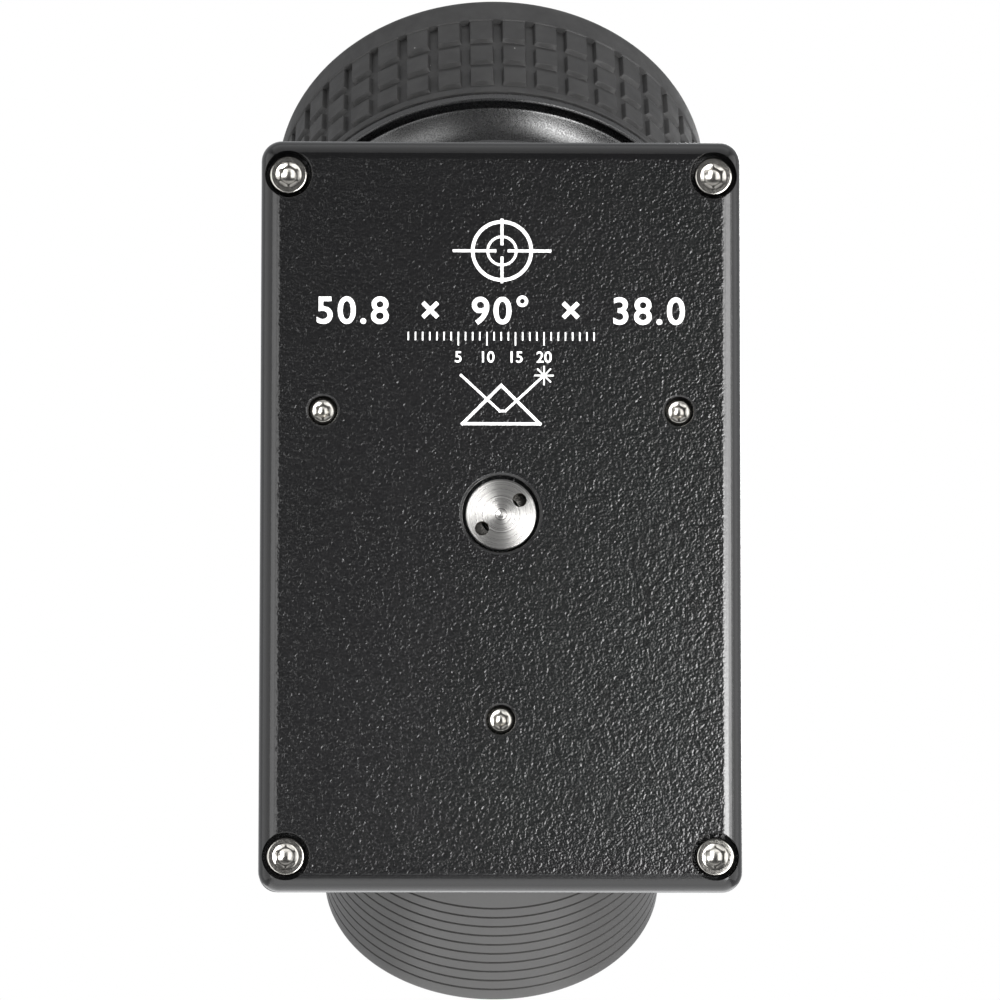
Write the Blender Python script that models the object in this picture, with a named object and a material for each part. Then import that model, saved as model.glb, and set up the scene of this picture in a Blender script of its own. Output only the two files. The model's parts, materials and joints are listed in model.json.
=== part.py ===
"""Two-inch 90 degree star diagonal with an Amici roof prism and a twist-lock eyepiece clamp.

The origin is the centre of the nosepiece shoulder. The barrel points along -Y, the eyepiece
axis is +Z, and X is the width. The two optical axes meet at the bend, FLANGE_FACE behind the
shoulder. Everything on an optical axis is dimensioned by its distance from the bend.
"""

from math import cos, pi, radians, sin, sqrt

import bmesh
import bpy
from mathutils import Matrix, Vector

MM = 0.001
GAP = 0.3 * MM                      # gap between neighbouring solids
OVERCUT = 2 * MM                    # how far a cutting tool reaches past the material

# Optical layout, measured from the bend
FLANGE_FACE = 38.0 * MM             # nosepiece shoulder
NOSE_END = 71.67 * MM               # open end of the barrel
PLATE_FACE = 18.29 * MM             # outer face of the back plate, along its normal
LEG_FACE = 34.0 * MM                # flat sides of the housing across the two optical axes
CAVITY_FACE = 31.0 * MM             # inner side of those walls
PRISM_FACE = 30.2 * MM              # entrance and exit faces of the prism

# Back plate and housing
PLATE_WIDTH = 67.4 * MM
PLATE_LENGTH = 105.4 * MM
PLATE_THICKNESS = 5.5 * MM
EDGE_ROUND = 2.4 * MM
CORNER_CHAMFER = 4.5 * MM           # cut off each leg face at the inside corner
HOLE_CHAMFER = 0.3 * MM
CAVITY_WIDTH = 58.0 * MM
CAVITY_LENGTH = 86.4 * MM
CAVITY_DEPTH = 42.0 * MM            # from the bend to the flat across the cavity's corner
BOSS_RADIUS = 33.4 * MM
BOSS_TOP = 47.6 * MM
BOSS_ROOT = 20.0 * MM               # inside the housing, where the boss is joined on
BOSS_CHAMFER = 0.5 * MM
BOSS_SEAT_RADIUS = 30.3 * MM
BOSS_SEAT_FLOOR = 41.0 * MM
PORT_RADIUS = 23.5 * MM             # light port in the eyepiece-side wall
NOSE_PORT_RADIUS = 26.3 * MM

# Fasteners, in the plane of the back plate
COVER_SCREW_X = 29.87 * MM
COVER_SCREW_U = 47.75 * MM
COVER_HEAD_RADIUS = 2.72 * MM
COVER_HEAD_HEIGHT = 3.0 * MM
COVER_HEAD_RECESS = 1.0 * MM
COVER_COUNTERBORE_RADIUS = 3.3 * MM
COVER_SHANK_RADIUS = 1.35 * MM
COVER_SHANK_END = 6.0 * MM
COVER_KEY = 1.25 * MM               # half the hexagon's width across its flats
COVER_KEY_DEPTH = 1.6 * MM
HEAD_CHAMFER = 0.25 * MM
DRILL_POINT = 0.3 * MM
ADJUSTER_CIRCLE = 28.77 * MM
ADJUSTER_RADIUS = 1.85 * MM
ADJUSTER_TOP = 17.6 * MM
ADJUSTER_TIP = 7.1 * MM
ADJUSTER_TIP_RADIUS = 1.05 * MM
ADJUSTER_CONE = 1.2 * MM            # height of the cone behind the tip
ADJUSTER_KEY = 1.0 * MM
ADJUSTER_KEY_DEPTH = 2.0 * MM
TENSION_HEAD_RADIUS = 4.9 * MM
TENSION_HEAD_TOP = 17.3 * MM
TENSION_HEAD_BOTTOM = 15.4 * MM
TENSION_RECESS_RADIUS = 5.4 * MM
TENSION_RECESS_FLOOR = 14.3 * MM
TENSION_RECESS_CHAMFER = 0.45 * MM
TENSION_SHANK_RADIUS = 2.5 * MM
TENSION_HOLE_RADIUS = 2.9 * MM
TENSION_SHANK_END = 2.4 * MM
WASHER_THICKNESS = 0.2 * MM
WASHER_DISH = 0.25 * MM
PIN_HOLE_RADIUS = 0.97 * MM
PIN_HOLE_OFFSET = 3.3 * MM
PIN_HOLE_ANGLE = radians(37)
PIN_HOLE_DEPTH = 1.2 * MM

# Two-inch fit
BARREL_RADIUS = 25.4 * MM
BARREL_BORE = 22.3 * MM
BARREL_CHAMFER = 0.4 * MM
THREAD_RADIUS = 24.0 * MM           # where the tube screws into the flange
TUBE_START = 32.5 * MM
TUBE_SEAT = 36.8 * MM               # floor of the recess that the tube's shoulder sits in
FLANGE_RADIUS = 31.0 * MM
FLANGE_START = 31.5 * MM
FLANGE_CHAMFER = 0.5 * MM
FILTER_BORE = 24.0 * MM
FILTER_DEPTH = 5.5 * MM
BAFFLE_START = 50.0 * MM
BAFFLE_LENGTH = 2.5 * MM
BAFFLE_BORE = 20.4 * MM
BAFFLE_LAND = 21.0 * MM
SOCKET_RADIUS = 25.5 * MM
SOCKET_STOP = 51.0 * MM             # ledge that an inserted barrel can reach
SEAT_FACE = 84.4 * MM               # top of the clamp, where the eyepiece's shoulder rests

# Eyepiece clamp
NECK_RADIUS = 27.0 * MM
COVE_START = 53.9 * MM
COVE_END = 58.0 * MM
FLARE_RADIUS = 31.4 * MM
FLARE_TOP = 58.34 * MM
POCKET_RADIUS = 26.9 * MM           # seat of the jaw carrier's spigot
POCKET_FLOOR = 56.0 * MM
CARRIER_RADIUS = 27.5 * MM
CARRIER_TOP = 82.9 * MM
LIP_RADIUS = 32.8 * MM
LIP_BOTTOM = 58.4 * MM
LIP_CHAMFER = 0.2 * MM
SKIRT_BORE = 32.3 * MM              # recess that shades the flare below the ring
SKIRT_FLOOR = 59.0 * MM
LAND_BOTTOM = 60.4 * MM             # inner land that turns on the jaw carrier
LAND_TOP = 62.3 * MM
RING_RADIUS = 31.6 * MM
RING_BORE = 30.7 * MM
RING_TOP = 83.0 * MM
CAM_RING_RADIUS = 30.4 * MM
CAM_RING_LEVELS = (62.6 * MM, 78.6 * MM)
GRIP_RADIUS = 33.05 * MM
BAND_RADIUS = 33.25 * MM
GRIP_START = 59.96 * MM
FLUTES_START = 61.3 * MM
FLUTES_END = 78.4 * MM
BAND_END = 82.5 * MM
CROWN = ((32.8 * MM, 83.6 * MM), (32.1 * MM, 84.1 * MM))
GRIP_HOOK = 0.8 * MM                # inward lip over the top of the clamp ring
GRIP_FLUTES = 42
FLUTE_PHASE = radians(4.99)         # from +X to the middle of the first flute
FLUTE_DEPTH = 0.75 * MM
FLUTE_FLOOR = 1.2 * MM
FLUTE_MOUTH = 1.8 * MM
JAW_START = 65.0 * MM
JAW_END = 77.0 * MM
JAW_RADIUS = 27.2 * MM
JAW_HALF_ANGLE = 22
JAW_BUMP_HALF_ANGLE = 4
JAW_CENTRES = (90, 210, 330)
WINDOW_HALF_ANGLE = 24
CAM_RADIUS = 28.9 * MM              # cam surface over a jaw while the clamp is open
CAM_RISE = 0.5 * MM / 30            # for each degree of turn
CAM_START = -40                     # degrees from a jaw's centre
CAM_STOP = 10
COVER_RING_RADIUS = 30.3 * MM
COVER_RING_START = 79.0 * MM
MOUTH_RADIUS = 26.4 * MM            # wide end of the lead-in for an eyepiece barrel
MOUTH_DEPTH = 0.8 * MM

# Prism and its cell, in the frame of the back plate
PRISM_HALF_WIDTH = 19.6 * MM
PRISM_HALF_LENGTH = 35.0 * MM
PRISM_DEPTH = 35.5 * MM
CELL_HALF_WIDTH = 24.2 * MM
CELL_HALF_LENGTH = 38.5 * MM
CELL_BACK = 6.6 * MM
CELL_FRONT = 3.0 * MM
CHEEK_INNER = 20.8 * MM
CHEEK_DEPTH = 36.3 * MM
STRAP_HALF_WIDTH = 4.2 * MM
STRAP_THICKNESS = 1.4 * MM
STRAP_SCREW_X = 22.5 * MM
STRAP_HOLE_RADIUS = 1.2 * MM
STRAP_HOLE_DEPTH = 5.0 * MM
CUSHION_HALF_WIDTH = 16.0 * MM
SIDE_CUSHION_HALF_LENGTH = 12.0 * MM
SIDE_CUSHION_LEVELS = (-30.0 * MM, -21.0 * MM)

RING_STEPS = 40
SCREW_STEPS = 24
SMALL_STEPS = 12
COVE_STEPS = 5
CAM_STEP = 5                        # degrees between points of the cam
FULL_TURN = 2 * pi

BEND = Vector((0, FLANGE_FACE, 0))
EYEPIECE_FRAME = Matrix.Translation(BEND)
NOSE_FRAME = Matrix.Translation(BEND) @ Matrix.Rotation(radians(90), 4, "X")
# In the plate frame x is -X, y climbs the plate, and z is the plate's outward normal.
PLATE_FRAME = Matrix.Translation(BEND) @ Matrix(
    (
        (-1, 0, 0, 0),
        (0, 1 / sqrt(2), 1 / sqrt(2), 0),
        (0, 1 / sqrt(2), -1 / sqrt(2), 0),
        (0, 0, 0, 1),
    )
)


def clear_scene():
    for item in list(bpy.data.objects):
        bpy.data.objects.remove(item, do_unlink=True)


def make_material(name, colour, roughness, metallic=0.0, alpha=1.0):
    material = bpy.data.materials.new(name)
    material.use_nodes = True
    shader = material.node_tree.nodes["Principled BSDF"]
    shader.inputs["Base Color"].default_value = (*colour, 1.0)
    shader.inputs["Roughness"].default_value = roughness
    shader.inputs["Metallic"].default_value = metallic
    shader.inputs["Alpha"].default_value = alpha
    return material


def make_object(name, bm, frame, material=None):
    """Turn a bmesh, drawn in the given frame, into a named object that sits in that frame."""
    bmesh.ops.recalc_face_normals(bm, faces=bm.faces)
    mesh = bpy.data.meshes.new(name)
    bm.to_mesh(mesh)
    bm.free()
    mesh.shade_smooth()
    mesh.set_sharp_from_angle(angle=radians(35))
    item = bpy.data.objects.new(name, mesh)
    item.matrix_world = frame
    if material is not None:
        mesh.materials.append(material)
    bpy.context.scene.collection.objects.link(item)
    return item


def boolean(target, tool, operation="DIFFERENCE"):
    """Cut a hidden tool out of the target, or join it on."""
    tool.hide_render = True
    tool.display_type = "WIRE"
    modifier = target.modifiers.new(tool.name, "BOOLEAN")
    modifier.operation = operation
    modifier.solver = "EXACT"
    modifier.object = tool
    return target


# ---------------------------------------------------------------- shapes

def polygon_reach(radius, sides, angle):
    """Distance from the centre to a regular polygon of that inradius, one corner at 90 degrees."""
    if sides == 0:
        return radius
    sector = FULL_TURN / sides
    return radius / cos((angle - pi / 2) % sector - sector / 2)


def add_turned(bm, outline, steps=RING_STEPS, start=0.0, sweep=FULL_TURN, shift=(0, 0)):
    """Turn a closed outline of (radius, height) or (inradius, height, sides) about the z axis."""
    closed = abs(sweep - FULL_TURN) < 1e-9
    count = steps if closed else steps + 1
    rings = []
    for point in outline:
        radius, height = point[0], point[1]
        sides = point[2] if len(point) > 2 else 0
        if radius == 0:
            rings.append([bm.verts.new((shift[0], shift[1], height))])
            continue
        ring = []
        for index in range(count):
            angle = start + sweep * index / steps
            reach = polygon_reach(radius, sides, angle)
            across = shift[0] + reach * cos(angle)
            ring.append(bm.verts.new((across, shift[1] + reach * sin(angle), height)))
        rings.append(ring)
    for index, ring in enumerate(rings):
        following = rings[(index + 1) % len(rings)]
        if len(ring) == 1 and len(following) == 1:
            continue
        for step in range(steps):
            after = (step + 1) % count
            corners = [ring[step % len(ring)], ring[after % len(ring)]]
            corners += [following[after % len(following)], following[step % len(following)]]
            bm.faces.new(list(dict.fromkeys(corners)))
    if not closed:
        bm.faces.new([ring[0] for ring in rings])
        bm.faces.new([ring[-1] for ring in rings])


def turned(name, outline, frame, material=None, **options):
    bm = bmesh.new()
    add_turned(bm, outline, **options)
    return make_object(name, bm, frame, material)


def extruded(name, outline, low, high, frame, material=None, axis="z"):
    """Extrude a closed outline between two planes, along z (points are x, y) or x (y, z)."""
    bm = bmesh.new()
    loops = []
    for level in (low, high):
        if axis == "z":
            loops.append([bm.verts.new((a, b, level)) for a, b in outline])
        else:
            loops.append([bm.verts.new((level, a, b)) for a, b in outline])
    bm.faces.new(loops[0])
    bm.faces.new(loops[1])
    for index in range(len(outline)):
        after = (index + 1) % len(outline)
        bm.faces.new([loops[0][index], loops[0][after], loops[1][after], loops[1][index]])
    return make_object(name, bm, frame, material)


def round_edges(item, chooser, width, segments=2):
    """Round the edges that the chooser picks from the object's own mesh."""
    bm = bmesh.new()
    bm.from_mesh(item.data)
    chosen = [edge for edge in bm.edges if chooser(edge)]
    bmesh.ops.bevel(bm, geom=chosen, offset=width, segments=segments, profile=0.5, affect="EDGES")
    bmesh.ops.recalc_face_normals(bm, faces=bm.faces)
    bm.to_mesh(item.data)
    bm.free()
    item.data.shade_smooth()
    item.data.set_sharp_from_angle(angle=radians(35))


def block(name, low, high, frame, material=None):
    outline = [(low[0], low[1]), (high[0], low[1]), (high[0], high[1]), (low[0], high[1])]
    return extruded(name, outline, low[2], high[2], frame, material)


def plate_point(climb, normal):
    """Point of the y-z plane from its height along the plate and its distance along the normal."""
    return ((climb + normal) / sqrt(2), (climb - normal) / sqrt(2))


def leg_point(climb, wall):
    """Point of the y-z plane at a height along the plate, on a wall across the eyepiece axis."""
    return plate_point(climb, climb - wall * sqrt(2))


def mirror_points(points):
    """Reflect points of the y-z plane across the plate's normal through the bend."""
    return [(-z, -y) for y, z in reversed(points)]


# ---------------------------------------------------------------- housing and back plate

def screw_places():
    places = {}
    for row, climb in (("top", COVER_SCREW_U), ("bottom", -COVER_SCREW_U)):
        for side, across in (("left", -COVER_SCREW_X), ("right", COVER_SCREW_X)):
            places[f"{row}_{side}"] = (across, climb)
    return places


def adjuster_places():
    places = {}
    for name, degrees in (("left", 150), ("right", 30), ("low", 270)):
        angle = radians(degrees)
        places[name] = (ADJUSTER_CIRCLE * cos(angle), ADJUSTER_CIRCLE * sin(angle))
    return places


def build_housing(material):
    back = PLATE_FACE - PLATE_THICKNESS - GAP
    half = PLATE_LENGTH / 2
    upper = [plate_point(half, back), leg_point(half, LEG_FACE), (-LEG_FACE + CORNER_CHAMFER, LEG_FACE)]
    outline = upper + mirror_points(upper)
    housing = extruded(
        "housing", outline, -PLATE_WIDTH / 2, PLATE_WIDTH / 2, EYEPIECE_FRAME, material, axis="x"
    )

    def off_the_plate(edge):
        normals = [(vert.co.y - vert.co.z) / sqrt(2) for vert in edge.verts]
        return min(normals) < back - 0.1 * MM

    round_edges(housing, off_the_plate, EDGE_ROUND)

    boss = [(0, BOSS_ROOT), (BOSS_RADIUS, BOSS_ROOT), (BOSS_RADIUS, BOSS_TOP - BOSS_CHAMFER)]
    boss += [(BOSS_RADIUS - BOSS_CHAMFER, BOSS_TOP), (0, BOSS_TOP)]
    boolean(housing, turned("boss_tool", boss, EYEPIECE_FRAME), "UNION")

    half = CAVITY_LENGTH / 2
    corner = (CAVITY_FACE - CAVITY_DEPTH * sqrt(2), CAVITY_FACE)
    side = [plate_point(half, back + OVERCUT), leg_point(half, CAVITY_FACE), corner]
    cavity_outline = side + mirror_points(side)
    cavity = extruded(
        "cavity_tool", cavity_outline, -CAVITY_WIDTH / 2, CAVITY_WIDTH / 2, EYEPIECE_FRAME, axis="x"
    )
    boolean(housing, cavity)

    start = CAVITY_FACE - OVERCUT
    top = BOSS_TOP + OVERCUT
    port = [(0, start), (PORT_RADIUS, start), (PORT_RADIUS, BOSS_SEAT_FLOOR)]
    port += [(BOSS_SEAT_RADIUS, BOSS_SEAT_FLOOR), (BOSS_SEAT_RADIUS, top), (0, top)]
    boolean(housing, turned("eyepiece_port_tool", port, EYEPIECE_FRAME))
    top = LEG_FACE + OVERCUT
    port = [(0, start), (NOSE_PORT_RADIUS, start), (NOSE_PORT_RADIUS, top), (0, top)]
    boolean(housing, turned("nosepiece_port_tool", port, NOSE_FRAME))

    radius = COVER_SHANK_RADIUS + GAP
    floor = COVER_SHANK_END - GAP
    hole = [(0, floor), (radius, floor), (radius, back + OVERCUT), (0, back + OVERCUT)]
    bm = bmesh.new()
    for place in screw_places().values():
        add_turned(bm, hole, steps=SMALL_STEPS, shift=place)
    boolean(housing, make_object("screw_hole_tool", bm, PLATE_FRAME))
    return housing


def countersunk(radius, chamfer, top):
    """Last points of a hole's outline: its chamfered mouth in the plate's face."""
    wide = radius + chamfer
    return [(radius, PLATE_FACE - chamfer), (wide, PLATE_FACE), (wide, top), (0, top)]


def build_back_plate(material):
    low = (-PLATE_WIDTH / 2, -PLATE_LENGTH / 2, PLATE_FACE - PLATE_THICKNESS)
    high = (PLATE_WIDTH / 2, PLATE_LENGTH / 2, PLATE_FACE)
    plate = block("back_plate", low, high, PLATE_FRAME, material)
    round_edges(plate, lambda edge: max(vert.co.z for vert in edge.verts) > PLATE_FACE - 1e-6, EDGE_ROUND)

    bottom = low[2] - OVERCUT
    top = PLATE_FACE + OVERCUT
    floor = PLATE_FACE - COVER_HEAD_RECESS - COVER_HEAD_HEIGHT - GAP
    clear = COVER_SHANK_RADIUS + GAP
    counterbore = [(0, bottom), (clear, bottom), (clear, floor), (COVER_COUNTERBORE_RADIUS, floor)]
    counterbore += countersunk(COVER_COUNTERBORE_RADIUS, HOLE_CHAMFER, top)
    bm = bmesh.new()
    for place in screw_places().values():
        add_turned(bm, counterbore, steps=SCREW_STEPS, shift=place)
    clear = ADJUSTER_RADIUS + GAP
    threaded = [(0, bottom), (clear, bottom)] + countersunk(clear, HOLE_CHAMFER, top)
    for place in adjuster_places().values():
        add_turned(bm, threaded, steps=SCREW_STEPS, shift=place)
    recess = [(0, bottom), (TENSION_HOLE_RADIUS, bottom), (TENSION_HOLE_RADIUS, TENSION_RECESS_FLOOR)]
    recess.append((TENSION_RECESS_RADIUS, TENSION_RECESS_FLOOR))
    recess += countersunk(TENSION_RECESS_RADIUS, TENSION_RECESS_CHAMFER, top)
    add_turned(bm, recess, steps=SCREW_STEPS)
    return boolean(plate, make_object("plate_hole_tool", bm, PLATE_FRAME))


# ---------------------------------------------------------------- fasteners

def socket_screw_outline(head_radius, head_top, head_height, shank_radius, shank_end, key, socket_depth):
    """Cap screw that points down its axis: key is half the hexagon's width across its flats."""
    head_bottom = head_top - head_height
    chamfer = HEAD_CHAMFER
    return [
        (0, shank_end),
        (shank_radius - chamfer, shank_end),
        (shank_radius, shank_end + chamfer),
        (shank_radius, head_bottom),
        (head_radius, head_bottom),
        (head_radius, head_top - chamfer),
        (head_radius - chamfer, head_top),
        (key, head_top, 6),
        (key, head_top - socket_depth, 6),
        (0, head_top - socket_depth - DRILL_POINT),
    ]


def build_cover_screws(material):
    outline = socket_screw_outline(
        COVER_HEAD_RADIUS,
        PLATE_FACE - COVER_HEAD_RECESS,
        COVER_HEAD_HEIGHT,
        COVER_SHANK_RADIUS,
        COVER_SHANK_END,
        COVER_KEY,
        COVER_KEY_DEPTH,
    )
    for name, (across, climb) in screw_places().items():
        frame = PLATE_FRAME @ Matrix.Translation((across, climb, 0))
        turned(f"cover_screw_{name}", outline, frame, material, steps=SCREW_STEPS)


def build_adjusting_screws(material):
    floor = ADJUSTER_TOP - ADJUSTER_KEY_DEPTH
    outline = [
        (0, ADJUSTER_TIP),
        (ADJUSTER_TIP_RADIUS, ADJUSTER_TIP),
        (ADJUSTER_RADIUS, ADJUSTER_TIP + ADJUSTER_CONE),
        (ADJUSTER_RADIUS, ADJUSTER_TOP - HEAD_CHAMFER),
        (ADJUSTER_RADIUS - HEAD_CHAMFER, ADJUSTER_TOP),
        (ADJUSTER_KEY, ADJUSTER_TOP, 6),
        (ADJUSTER_KEY, floor, 6),
        (0, floor - DRILL_POINT),
    ]
    for name, (across, climb) in adjuster_places().items():
        frame = PLATE_FRAME @ Matrix.Translation((across, climb, 0))
        turned(f"adjusting_screw_{name}", outline, frame, material, steps=SMALL_STEPS)


def build_tension_screw(screw_material, washer_material):
    chamfer = HEAD_CHAMFER
    outline = [
        (0, TENSION_SHANK_END),
        (TENSION_SHANK_RADIUS, TENSION_SHANK_END),
        (TENSION_SHANK_RADIUS, TENSION_HEAD_BOTTOM),
        (TENSION_HEAD_RADIUS, TENSION_HEAD_BOTTOM),
        (TENSION_HEAD_RADIUS, TENSION_HEAD_TOP - chamfer),
        (TENSION_HEAD_RADIUS - chamfer, TENSION_HEAD_TOP),
        (0, TENSION_HEAD_TOP),
    ]
    screw = turned("tension_screw", outline, PLATE_FRAME, screw_material, steps=SCREW_STEPS)
    low = TENSION_HEAD_TOP - PIN_HOLE_DEPTH
    high = TENSION_HEAD_TOP + OVERCUT
    hole = [(0, low), (PIN_HOLE_RADIUS, low), (PIN_HOLE_RADIUS, high), (0, high)]
    bm = bmesh.new()
    for side in (-1, 1):
        across = side * PIN_HOLE_OFFSET * cos(PIN_HOLE_ANGLE)
        climb = side * PIN_HOLE_OFFSET * sin(PIN_HOLE_ANGLE)
        add_turned(bm, hole, steps=SMALL_STEPS, shift=(across, climb))
    boolean(screw, make_object("pin_hole_tool", bm, PLATE_FRAME))

    floor = TENSION_RECESS_FLOOR + GAP
    washer = [
        (TENSION_HOLE_RADIUS, floor + WASHER_DISH),
        (TENSION_HEAD_RADIUS, floor),
        (TENSION_HEAD_RADIUS, floor + WASHER_THICKNESS),
        (TENSION_HOLE_RADIUS, floor + WASHER_DISH + WASHER_THICKNESS),
    ]
    turned("tension_washer", washer, PLATE_FRAME, washer_material, steps=SCREW_STEPS)


# ---------------------------------------------------------------- nosepiece

def build_nosepiece(flange_material, barrel_material, baffle_material):
    """Flange in the housing's port, and a barrel whose shoulder sits in a recess of its face."""
    spigot = NOSE_PORT_RADIUS - GAP
    foot = LEG_FACE + GAP
    rim = FLANGE_RADIUS - FLANGE_CHAMFER
    flange = [
        (THREAD_RADIUS + GAP, FLANGE_START),
        (spigot, FLANGE_START),
        (spigot, foot),
        (rim, foot),
        (FLANGE_RADIUS, foot + FLANGE_CHAMFER),
        (FLANGE_RADIUS, FLANGE_FACE - FLANGE_CHAMFER),
        (rim, FLANGE_FACE),
        (BARREL_RADIUS + GAP, FLANGE_FACE),
        (BARREL_RADIUS + GAP, TUBE_SEAT),
        (THREAD_RADIUS + GAP, TUBE_SEAT),
    ]
    turned("nosepiece_flange", flange, NOSE_FRAME, flange_material)

    tube = [
        (BARREL_BORE, TUBE_START),
        (THREAD_RADIUS, TUBE_START),
        (THREAD_RADIUS, TUBE_SEAT + GAP),
        (BARREL_RADIUS, TUBE_SEAT + GAP),
        (BARREL_RADIUS, NOSE_END - BARREL_CHAMFER),
        (BARREL_RADIUS - BARREL_CHAMFER, NOSE_END),
        (FILTER_BORE, NOSE_END),
        (FILTER_BORE, NOSE_END - FILTER_DEPTH),
        (BARREL_BORE, NOSE_END - FILTER_DEPTH - 1 * MM),
    ]
    turned("nosepiece_tube", tube, NOSE_FRAME, barrel_material)

    outer = BARREL_BORE - GAP
    end = BAFFLE_START + BAFFLE_LENGTH
    middle = BAFFLE_START + BAFFLE_LENGTH / 2
    baffle = [(outer, BAFFLE_START), (outer, end), (BAFFLE_LAND, end)]
    baffle += [(BAFFLE_BORE, middle), (BAFFLE_LAND, BAFFLE_START)]
    turned("nosepiece_baffle", baffle, NOSE_FRAME, baffle_material)


# ---------------------------------------------------------------- eyepiece clamp

def build_clamp_base(material):
    foot = BOSS_SEAT_RADIUS - GAP
    outline = [
        (PORT_RADIUS, BOSS_SEAT_FLOOR + GAP),
        (foot, BOSS_SEAT_FLOOR + GAP),
        (foot, BOSS_TOP),
        (NECK_RADIUS, BOSS_TOP),
    ]
    for index in range(COVE_STEPS + 1):
        angle = pi / 2 * index / COVE_STEPS
        radius = FLARE_RADIUS - (FLARE_RADIUS - NECK_RADIUS) * cos(angle)
        outline.append((radius, COVE_START + (COVE_END - COVE_START) * sin(angle)))
    outline += [
        (FLARE_RADIUS, FLARE_TOP),
        (POCKET_RADIUS, FLARE_TOP),
        (POCKET_RADIUS, POCKET_FLOOR),
        (SOCKET_RADIUS, POCKET_FLOOR),
        (SOCKET_RADIUS, SOCKET_STOP),
        (PORT_RADIUS, SOCKET_STOP),
    ]
    turned("clamp_base", outline, EYEPIECE_FRAME, material)


def build_jaw_carrier(material):
    """Thin tube with a window for each jaw; its spigot sits in the clamp base's pocket."""
    spigot = POCKET_RADIUS - GAP
    outline = [
        (SOCKET_RADIUS, POCKET_FLOOR + GAP),
        (spigot, POCKET_FLOOR + GAP),
        (spigot, FLARE_TOP + GAP),
        (CARRIER_RADIUS, FLARE_TOP + GAP),
        (CARRIER_RADIUS, CARRIER_TOP),
        (SOCKET_RADIUS, CARRIER_TOP),
    ]
    carrier = turned("jaw_carrier", outline, EYEPIECE_FRAME, material)
    window = [
        (SOCKET_RADIUS - OVERCUT, JAW_START - GAP),
        (CARRIER_RADIUS + OVERCUT, JAW_START - GAP),
        (CARRIER_RADIUS + OVERCUT, JAW_END + GAP),
        (SOCKET_RADIUS - OVERCUT, JAW_END + GAP),
    ]
    bm = bmesh.new()
    for centre in JAW_CENTRES:
        start = radians(centre - WINDOW_HALF_ANGLE)
        add_turned(bm, window, steps=8, start=start, sweep=radians(2 * WINDOW_HALF_ANGLE))
    return boolean(carrier, make_object("window_tool", bm, EYEPIECE_FRAME))


def build_clamp_jaws(material):
    """Brass segments; each has a bump at its middle that follows the cam."""
    for number, centre in enumerate(JAW_CENTRES, start=1):
        outer = []
        inner = []
        for step in range(-JAW_HALF_ANGLE, JAW_HALF_ANGLE + 1, 2):
            angle = radians(step)
            reach = CAM_RADIUS - GAP if abs(step) <= JAW_BUMP_HALF_ANGLE else JAW_RADIUS
            outer.append((reach * cos(angle), reach * sin(angle)))
            inner.append((SOCKET_RADIUS * cos(angle), SOCKET_RADIUS * sin(angle)))
        outline = outer + inner[::-1]
        frame = EYEPIECE_FRAME @ Matrix.Rotation(radians(centre), 4, "Z")
        extruded(f"clamp_jaw_{number}", outline, JAW_START, JAW_END, frame, material)


def build_clamp_ring(material):
    """The ring that a hand turns, inside its rubber sleeve, with a lip under the sleeve."""
    top = GRIP_START - GAP
    outline = [
        (CARRIER_RADIUS + GAP, LAND_BOTTOM),
        (RING_BORE, LAND_BOTTOM),
        (RING_BORE, SKIRT_FLOOR),
        (SKIRT_BORE, SKIRT_FLOOR),
        (SKIRT_BORE, LIP_BOTTOM + LIP_CHAMFER),
        (SKIRT_BORE + LIP_CHAMFER, LIP_BOTTOM),
        (LIP_RADIUS, LIP_BOTTOM + LIP_CHAMFER),
        (LIP_RADIUS, top),
        (RING_RADIUS, top),
        (RING_RADIUS, RING_TOP),
        (RING_BORE, RING_TOP),
        (RING_BORE, LAND_TOP),
        (CARRIER_RADIUS + GAP, LAND_TOP),
    ]
    turned("clamp_ring", outline, EYEPIECE_FRAME, material)


def cam_reach(degrees):
    """Radius of the cam's bore: it closes by CAM_RISE a degree over each jaw."""
    sector = 360 / len(JAW_CENTRES)
    local = (degrees - JAW_CENTRES[0] + sector / 2) % sector - sector / 2
    if CAM_START <= local <= CAM_STOP:
        return CAM_RADIUS + CAM_RISE * local
    return CAM_RADIUS + CAM_RISE * CAM_STOP


def build_cam_ring(material):
    bm = bmesh.new()
    low, high = CAM_RING_LEVELS
    loops = [[], [], [], []]
    for degrees in range(0, 360, CAM_STEP):
        angle = radians(degrees)
        reach = cam_reach(degrees)
        corners = ((CAM_RING_RADIUS, low), (CAM_RING_RADIUS, high), (reach, high), (reach, low))
        for loop, (radius, level) in zip(loops, corners):
            loop.append(bm.verts.new((radius * cos(angle), radius * sin(angle), level)))
    for first, second in zip(loops, loops[1:] + loops[:1]):
        for index in range(len(first)):
            after = (index + 1) % len(first)
            bm.faces.new([first[index], first[after], second[after], second[index]])
    make_object("cam_ring", bm, EYEPIECE_FRAME, material)


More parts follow.
